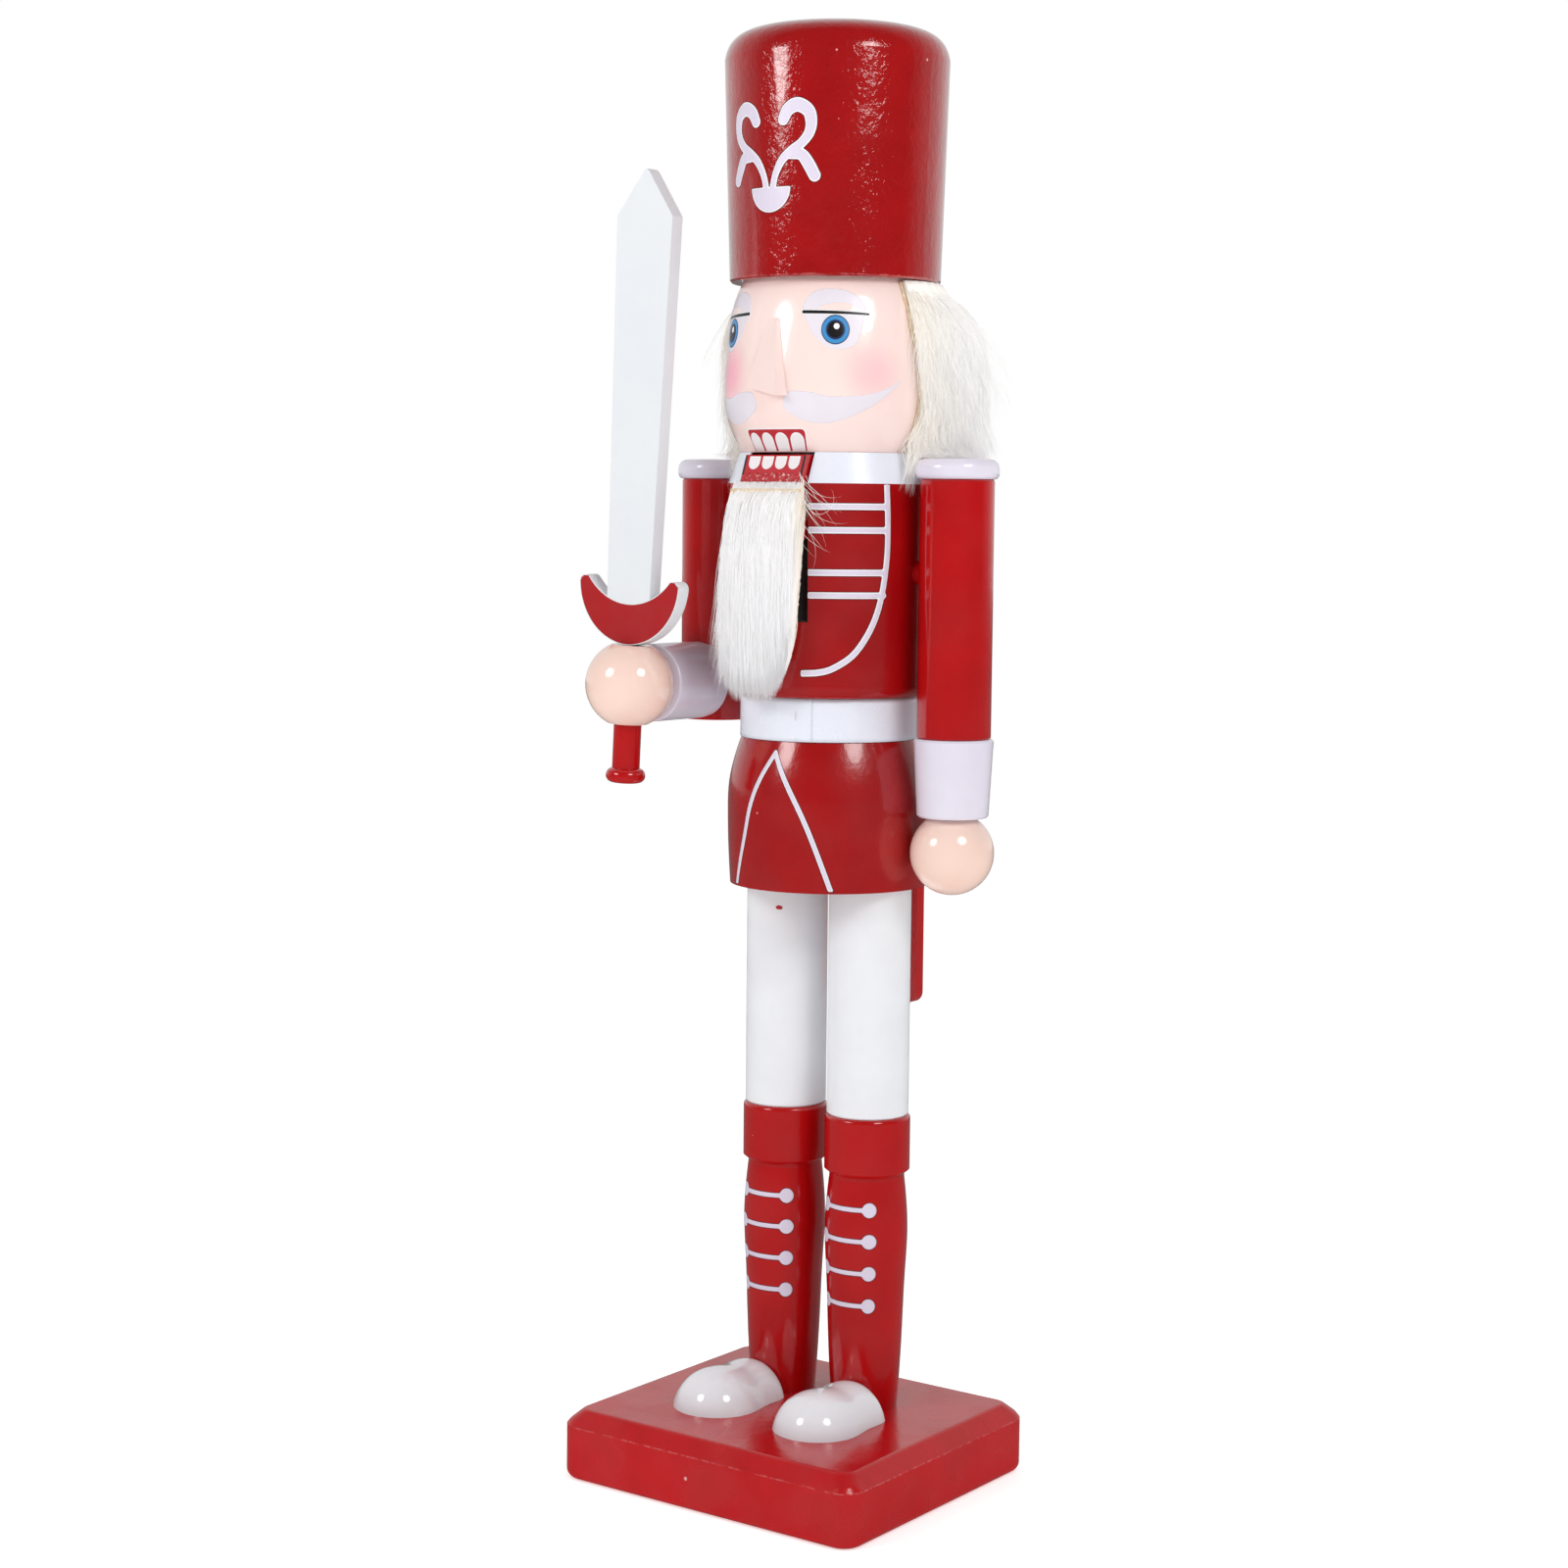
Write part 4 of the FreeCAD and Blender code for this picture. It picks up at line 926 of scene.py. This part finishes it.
def strands(name, paths, half_width, tone, material):
    """Fur as closed, tapering three-sided hairs. paths is hairs by points by x, y, z in mm, tone
    the hairs' cream share at the root and at the tip."""
    count, rings, _ = paths.shape
    along = np.gradient(paths, axis=1)
    along /= np.linalg.norm(along, axis=2, keepdims=True) + 1e-9
    aside = np.cross(along, CHANCE.normal(size=(count, 1, 3)))
    aside /= np.linalg.norm(aside, axis=2, keepdims=True) + 1e-9
    across = np.cross(along, aside)
    taper = 1 - np.linspace(0, 1, rings)[:-1] ** 1.7
    reach = (half_width[:, None] * taper)[:, :, None, None]
    turns = 2 * math.pi * np.arange(3) / 3
    corners = (np.cos(turns)[:, None] * aside[:, :-1, None, :]
               + np.sin(turns)[:, None] * across[:, :-1, None, :])
    tubes = (paths[:, :-1, None, :] + reach * corners).reshape(count, -1, 3)
    points = np.concatenate([tubes, paths[:, -1:, :]], axis=1).reshape(-1, 3) * MM
    each = 3 * (rings - 1) + 1
    quads = [(3 * i + k, 3 * i + (k + 1) % 3, 3 * i + 3 + (k + 1) % 3, 3 * i + 3 + k)
             for i in range(rings - 2) for k in range(3)]
    ends = [(each - 4 + k, each - 4 + (k + 1) % 3, each - 1) for k in range(3)] + [(2, 1, 0)]
    first = (np.arange(count) * each)[:, None, None]
    faces = ((first + np.array(quads)).reshape(-1, 4).tolist()
             + (first + np.array(ends)).reshape(-1, 3).tolist())
    piece = sheet_mesh(name, points.tolist(), faces, material)
    fade = np.append(np.repeat(np.linspace(0, 1, rings)[:-1], 3), 1.0)
    shown = tone[0][:, None] * (1 - fade) + tone[1][:, None] * fade
    layer = piece.data.attributes.new("tone", "FLOAT", "POINT")
    layer.data.foreach_set("value", shown.astype(np.float32).ravel())
    return piece


def locked(tips, strength, groups):
    """How far each hair leans over at its tip to gather into the lock it belongs to."""
    leaders = tips[CHANCE.choice(len(tips), groups, replace=False)]
    gap = np.linalg.norm(tips[:, None, :] - leaders[None], axis=2)
    return (leaders[gap.argmin(axis=1)] - tips) * strength


def front_edge(z):
    """Angle, in degrees from the face's middle, where the fur's backing begins."""
    return np.interp(z, [273, 280.6, 289, 295, 302, 313], [85, 83.7, 84.8, 84.6, 80, 77])


class Head:
    """Radius of the head up its height, and of the shoulders below it, in mm."""
    axis = middle_of("head")
    low, high = (corner.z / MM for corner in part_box("head"))
    levels = np.linspace(low + 0.4, high - 0.4, 20)
    radii = [radius_at("head")(180.0, z) for z in levels]
    shoulder = 28.2

    @classmethod
    def radius(cls, z):
        return np.where(z < cls.low, cls.shoulder, np.interp(z, cls.levels, cls.radii))


def pile_reach(angle, z):
    """How far the pile stands out from the head's axis: fullest over the left ear, thinner and
    looser on the right."""
    left = np.interp(z, [262, 268, 273, 281, 290, 300, 309, 315.5],
                     [45.5, 45, 42.6, 40.4, 40.6, 39.4, 36, 29.5])
    back = np.interp(z, [262, 272, 290, 300, 309, 315.5], [39, 39, 38.5, 37.5, 35, 29])
    right = np.interp(z, [262, 268, 277, 287, 298, 308, 315.5], [46, 45, 42, 41, 41.5, 36, 29.5])
    to_left = np.clip((170 - angle) / 50, 0, 1)
    to_right = np.clip((angle - 190) / 50, 0, 1)
    reach = back + (left - back) * to_left + (right - back) * to_right
    from_edge = np.minimum(angle, 360 - angle) - front_edge(z)
    full = np.clip((from_edge + 6) / 26, 0, 1) ** 0.6
    return Head.radius(z) + 1 + (reach - Head.radius(z) - 1) * full


def clear_of_shoulders(paths, rest):
    """Lifts the hairs that would sink into the epaulettes so that they lie on top of them."""
    for side in ("left", "right"):
        low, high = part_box(side + "_epaulette")
        middle = middle_of(side + "_epaulette") / MM
        radius = (high.x - low.x) / 2 / MM + 0.4
        over = np.hypot(paths[..., 0] - middle.x, paths[..., 1] - middle.y) < radius
        top = high.z / MM + 0.25 + rest[:, None]
        paths[..., 2] = np.where(over, np.maximum(paths[..., 2], top), paths[..., 2])
    return paths


def hair_paths(count, first, last, rings=6):
    low, high = (corner.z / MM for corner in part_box("hair"))
    root_z = low + (high - low) * CHANCE.random(count) ** 0.8
    edge = front_edge(root_z) + 0.6
    start, stop = np.maximum(edge, first), np.minimum(360 - edge, last)
    root_angle = start + (stop - start) * CHANCE.random(count)
    behind = np.abs(root_angle - 180) < 26
    lowest = np.where(behind, 267.6, 260.0) + 6.5 * CHANCE.random(count) ** 1.5
    length = np.minimum(CHANCE.uniform(15, 30, count), np.maximum(root_z - lowest, 3.0))
    height = (root_z - low) / (high - low)
    depth = np.clip(0.3 + 0.7 * height + CHANCE.normal(0, 0.16, count), 0.12, 1.06)
    s = np.linspace(0, 1, rings)[None, :]
    z = root_z[:, None] - length[:, None] * (0.72 * s + 0.28 * s ** 2)
    swing = CHANCE.normal(0, 3.2, count)[:, None] * s
    wave = 1.3 * np.sin(2 * math.pi * (s * 0.9 + CHANCE.random(count)[:, None])) * s
    backward = np.where(root_angle < 180, 1, -1)[:, None]
    near_edge = np.clip(1 - (np.minimum(root_angle, 360 - root_angle) - edge) / 20, 0, 1)[:, None]
    ahead = np.clip((293 - root_z) / 12, 0, 1) * CHANCE.uniform(4, 17, count)
    drift = near_edge * (3.5 - ahead[:, None])
    angle = root_angle[:, None] + swing + wave + backward * drift * s
    skin = Head.radius(z)
    target = skin + (pile_reach(angle, z) - skin) * depth[:, None]
    root = (Head.radius(root_z) + 0.9)[:, None]
    radius = root + (target - root) * (1 - np.exp(-4.5 * s))
    stray = (CHANCE.random(count) < 0.09)[:, None] * CHANCE.uniform(1.5, 7, count)[:, None]
    radius = radius + stray * s ** 2
    turn = np.radians(angle)
    axis = np.array(Head.axis.xy) / MM
    paths = np.stack([axis[0] + radius * np.sin(turn), axis[1] - radius * np.cos(turn), z], axis=2)
    lean = locked(paths[:, -1], 0.55, count // 26)
    paths += lean[:, None, :] * (s ** 1.6)[:, :, None]
    outward = paths[..., :2] - axis
    needed = Head.radius(paths[..., 2]) + 0.5
    push = needed / np.maximum(np.linalg.norm(outward, axis=2), 1e-6)
    paths[..., :2] = axis + outward * np.maximum(push, 1.0)[..., None]
    middle_back = (np.abs(paths[..., 0]) < 12.5) & (paths[..., 1] > 20)
    paths[..., 2] = np.where(middle_back, np.maximum(paths[..., 2], 267.4), paths[..., 2])
    paths = clear_of_shoulders(paths, CHANCE.uniform(0, 1.4, count))
    cream = np.clip(0.15 + 0.75 * near_edge[:, 0] ** 1.5 + CHANCE.normal(0, 0.12, count), 0, 1)
    return paths, (np.clip(cream + 0.25, 0, 1), cream * 0.45)


def make_hair():
    """Fur strip round the sides and back of the head: backing, underfur and four falls."""
    low, top = (corner.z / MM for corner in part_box("hair"))
    heights = np.linspace(low, top - 0.1, 26)
    lots = CHANCE.normal(0, 0.25, len(heights))
    angles = np.array([np.linspace(front_edge(z) - 0.9 + lot, 360.9 - front_edge(z) - lot, 90)
                       for z, lot in zip(heights, lots)])
    backing = shell("hair_backing", angles, heights, lambda a, z: Head.radius(z) + 0.08,
                    lambda a, z: Head.radius(z) + 0.6, Head.axis, hide_backing())
    under_heights = np.linspace(low - 0.6, top, 40)
    under_angles = np.array([np.linspace(front_edge(z) + 1.5, 358.5 - front_edge(z), 150)
                             for z in under_heights])

    def under_reach(angle, z):
        fullness = 0.55 + 0.07 * math.sin(angle * 0.9 + z * 0.2) + 0.05 * math.sin(z * 0.9)
        ease = min(1.0, (z - under_heights[0] + 0.5) / 6)
        edge = min(angle, 360 - angle) - front_edge(z)
        ease *= min(1.0, max(edge, 0.3) / 12) ** 0.5
        skin = Head.radius(z) + 1.2
        return skin + max(0.2, (pile_reach(angle, z) - skin) * fullness * ease)

    # The underfur and the long pile give off a painted glow, the last figure passed to pile.
    under = shell("hair_underfur", under_angles, under_heights,
                  lambda a, z: Head.radius(z) + 0.9, under_reach, Head.axis,
                  pile("underfur", shade(243, 239, 233), shade(236, 228, 216), 0.14))
    fur = pile("long_pile", shade(248, 248, 249), shade(244, 238, 228), 0.18)
    falls = []
    for name, first, last in (("hair_left", 70, 108), ("hair_left_rear", 104, 146),
                              ("hair_back", 140, 222), ("hair_right", 218, 290)):
        paths, tone = hair_paths(HAIRS, first, last)
        falls.append(strands(name, paths, CHANCE.uniform(*HAIR_HALF_WIDTH, HAIRS), tone, fur))
    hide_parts("hair")
    for piece in (backing, under, *falls):
        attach(piece, "figure")


def beard_bounds(z):
    """Left and right limits of the beard at a height, in mm, seen from the front."""
    right_side = np.interp(z, [203, 210, 217, 257, 264], [-9.0, -10.5, -11.5, -13.4, -11.5])
    left_side = np.interp(z, [203, 210, 220, 225, 240, 257, 264],
                          [1.0, 4.2, 8.0, 9.3, 10.6, 12.0, 11.3])
    return right_side, left_side


def beard_paths(count, rings=6):
    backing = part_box("beard")[1] / MM
    top, front, foot = backing.z - 0.4, backing.y - 0.5, 219
    root_z = foot + (top - foot) * CHANCE.random(count) ** 0.75
    first_row = CHANCE.random(count) < 0.12
    root_z = np.where(first_row, top - 2.0 * CHANCE.random(count), root_z)
    start, stop = beard_bounds(root_z)
    share = CHANCE.random(count)
    root_x = start + 0.6 + (stop - start - 0.6) * share
    height = (root_z - foot) / (top - foot)
    tip_x = root_x + CHANCE.normal(0, 0.9, count) - 1.2 * height
    lowest = 207.5 + np.clip(root_x - 2.5, 0, None) ** 1.25 * 0.85
    lowest += np.clip(-root_x - 8, 0, None) * 0.9 + 5.5 * CHANCE.random(count) ** 2
    length = np.minimum(CHANCE.uniform(22, 46, count), np.maximum(root_z - lowest, 4))
    depth = np.clip(1.2 + 5.2 * height ** 0.7 + CHANCE.normal(0, 0.9, count), 0.5, 7.6)
    rounded = 1 - 0.55 * np.abs(2 * share - 1) ** 3
    s = np.linspace(0, 1, rings)[None, :]
    z = root_z[:, None] - length[:, None] * (0.85 * s + 0.15 * s ** 2)
    wave = 0.35 * np.sin(2 * math.pi * (s * 1.1 + CHANCE.random(count)[:, None])) * s
    x = root_x[:, None] + (tip_x - root_x)[:, None] * s + wave
    loose = (share < 0.16) & (CHANCE.random(count) < 0.14)
    x = x - (loose * CHANCE.uniform(1.5, 5.5, count))[:, None] * s ** 1.7
    limit = beard_bounds(z)[1] + 0.25
    x = np.minimum(x, limit)
    out = (depth * rounded)[:, None] * (1 - np.exp(-5 * s)) * (1 - 0.35 * s ** 2)
    y = front - out - 0.15
    paths = np.stack([x, y, z], axis=2)
    lean = locked(paths[:, -1], 0.6, count // 30)
    lean[:, 2] *= 0.3
    paths += lean[:, None, :] * (s ** 1.8)[:, :, None]
    paths[..., 0] = np.minimum(paths[..., 0], limit)
    cut_edge = np.clip((share - 0.93) / 0.07, 0, 1) * 0.8
    cream = np.clip(0.05 + cut_edge + CHANCE.normal(0, 0.07, count), 0, 1)
    return paths, (np.clip(cream + 0.12, 0, 1), cream * 0.35)


def stray_paths(count, rings=12):
    """Loose hairs of the beard's cut edge, curling out over the chest."""
    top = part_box("beard")[1].z / MM
    start = np.stack([CHANCE.uniform(9.5, 12.5, count), np.full(count, -15.6),
                      top - CHANCE.uniform(-2.5, 12, count)], axis=1)
    heading = CHANCE.uniform(-0.2, 1.0, count)
    spin = CHANCE.normal(0, 0.16, count)
    step = CHANCE.uniform(0.7, 1.5, count)
    points = [start]
    for ring in range(rings - 1):
        turn = heading + spin * ring
        move = np.stack([np.sin(turn), -0.18 * np.cos(ring * 0.5 + heading), -np.cos(turn)],
                        axis=1)
        points.append(points[-1] + move * step[:, None])
    paths = np.stack(points, axis=1)
    paths[..., 1] = np.minimum(paths[..., 1], -15.2)
    return paths


def beard_glue():
    """Ragged line of painted glue above the fur, on the jaw's bevel."""
    def ragged(u, z):
        edge = 0.22 * np.sin(u * 2.3) + 0.16 * np.sin(u * 5.1 + 1.0)
        return np.maximum(np.abs(u) - 9.3, np.abs(z - 265.1) - 1.1 - edge)

    lay("beard_glue", square_on("jaw_lever"), ragged, (-10, 10, 263, 267.5), 0.25, 0.3,
        glue_red(), "red_enamel", "jaw")


def make_beard():
    """Fur strip glued to the jaw: it follows the jaw at the top and hangs free below."""
    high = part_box("beard")[1] / MM
    columns, rows = 19, 24
    heights = np.linspace(218.5, high.z - 2.2, rows)
    points = []
    lots = CHANCE.normal(0, 0.12, rows)
    for crowned in (True, False):
        for z, lot in zip(heights, lots):
            start, stop = beard_bounds(z)
            for x in np.linspace(start + 0.7 + lot, stop - 0.5 + lot * 0.6, columns):
                bulge = 1 - ((2 * x - start - stop) / (stop - start)) ** 2
                swell = (1.2 + 1.5 * max(bulge, 0) ** 0.5) if crowned else 0.15
                points.append((x * MM, (high.y - swell) * MM, z * MM))
    pieces = [closed_skin("beard_backing", points, rows, columns, hide_backing())]
    # The beard's pile gives off a painted glow, the last figure passed to pile.
    fur = pile("beard_pile", shade(248, 248, 250), shade(243, 234, 220), 0.145)
    for name in ("beard_under", "beard_over"):
        paths, tone = beard_paths(HAIRS)
        pieces.append(strands(name, paths, CHANCE.uniform(*HAIR_HALF_WIDTH, HAIRS), tone, fur))
    strays = 34
    pieces.append(strands("beard_strays", stray_paths(strays),
                          CHANCE.uniform(0.05, 0.08, strays),
                          (np.full(strays, 0.5), np.full(strays, 0.25)), fur))
    beard_glue()
    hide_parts("beard")
    for piece in pieces:
        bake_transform(piece)


VINYL = vinyl_strip()

make_camera()
make_softbox("softbox_left", -0.73, 0.43, 0.52)
make_softbox("softbox_right", 0.52, 0.455, 0.72)
make_surroundings()
make_floor()
bpy.context.scene.view_settings.view_transform = "Standard"

paint_hat()
paint_face()
paint_torso()
paint_guard()
paint_boots()
paint_chips()
make_hair()
make_beard()
make_belt()

COAT = enamels()
COAT.update(vinyl_strip=VINYL,
            bare_wood=grained("bare_wood", shade(222, 190, 144), shade(186, 144, 96), 900.0,
                              (0.55, 0.7), 0.00004),
            bright_steel=grained("bright_steel", shade(190, 190, 194), shade(160, 160, 166),
                                 1500.0, (0.25, 0.4), 0.00001, Metallic=1.0))
FINISHED = {
    "hat_enamel": "hat", "plinth_enamel": "base_plinth", "chest_enamel": "torso",
    "red_enamel": "left_boot right_boot left_sleeve right_sleeve jaw_lever sword_grip"
                  " shoulder_dowels",
    "white_satin": "left_trouser_leg right_trouser_leg hair beard",
    "sword_white": "sword_blade", "shoe_white": "left_shoe right_shoe",
    "lavender_enamel": "left_cuff right_cuff left_epaulette right_epaulette",
    "hand_flesh": "left_hand right_hand", "face_flesh": "head nose",
    "vinyl_strip": "collar_band belt_band", "bright_steel": "pivot_pin base_screws",
    "bare_wood": "hat_dowel hip_dowels knee_dowels neck_dowels left_wrist_dowel"
                 " right_wrist_dowel",
}
for coat, nodes in FINISHED.items():
    for node in nodes.split():
        for socket in NODES[node].material_slots:
            socket.material = COAT[coat]
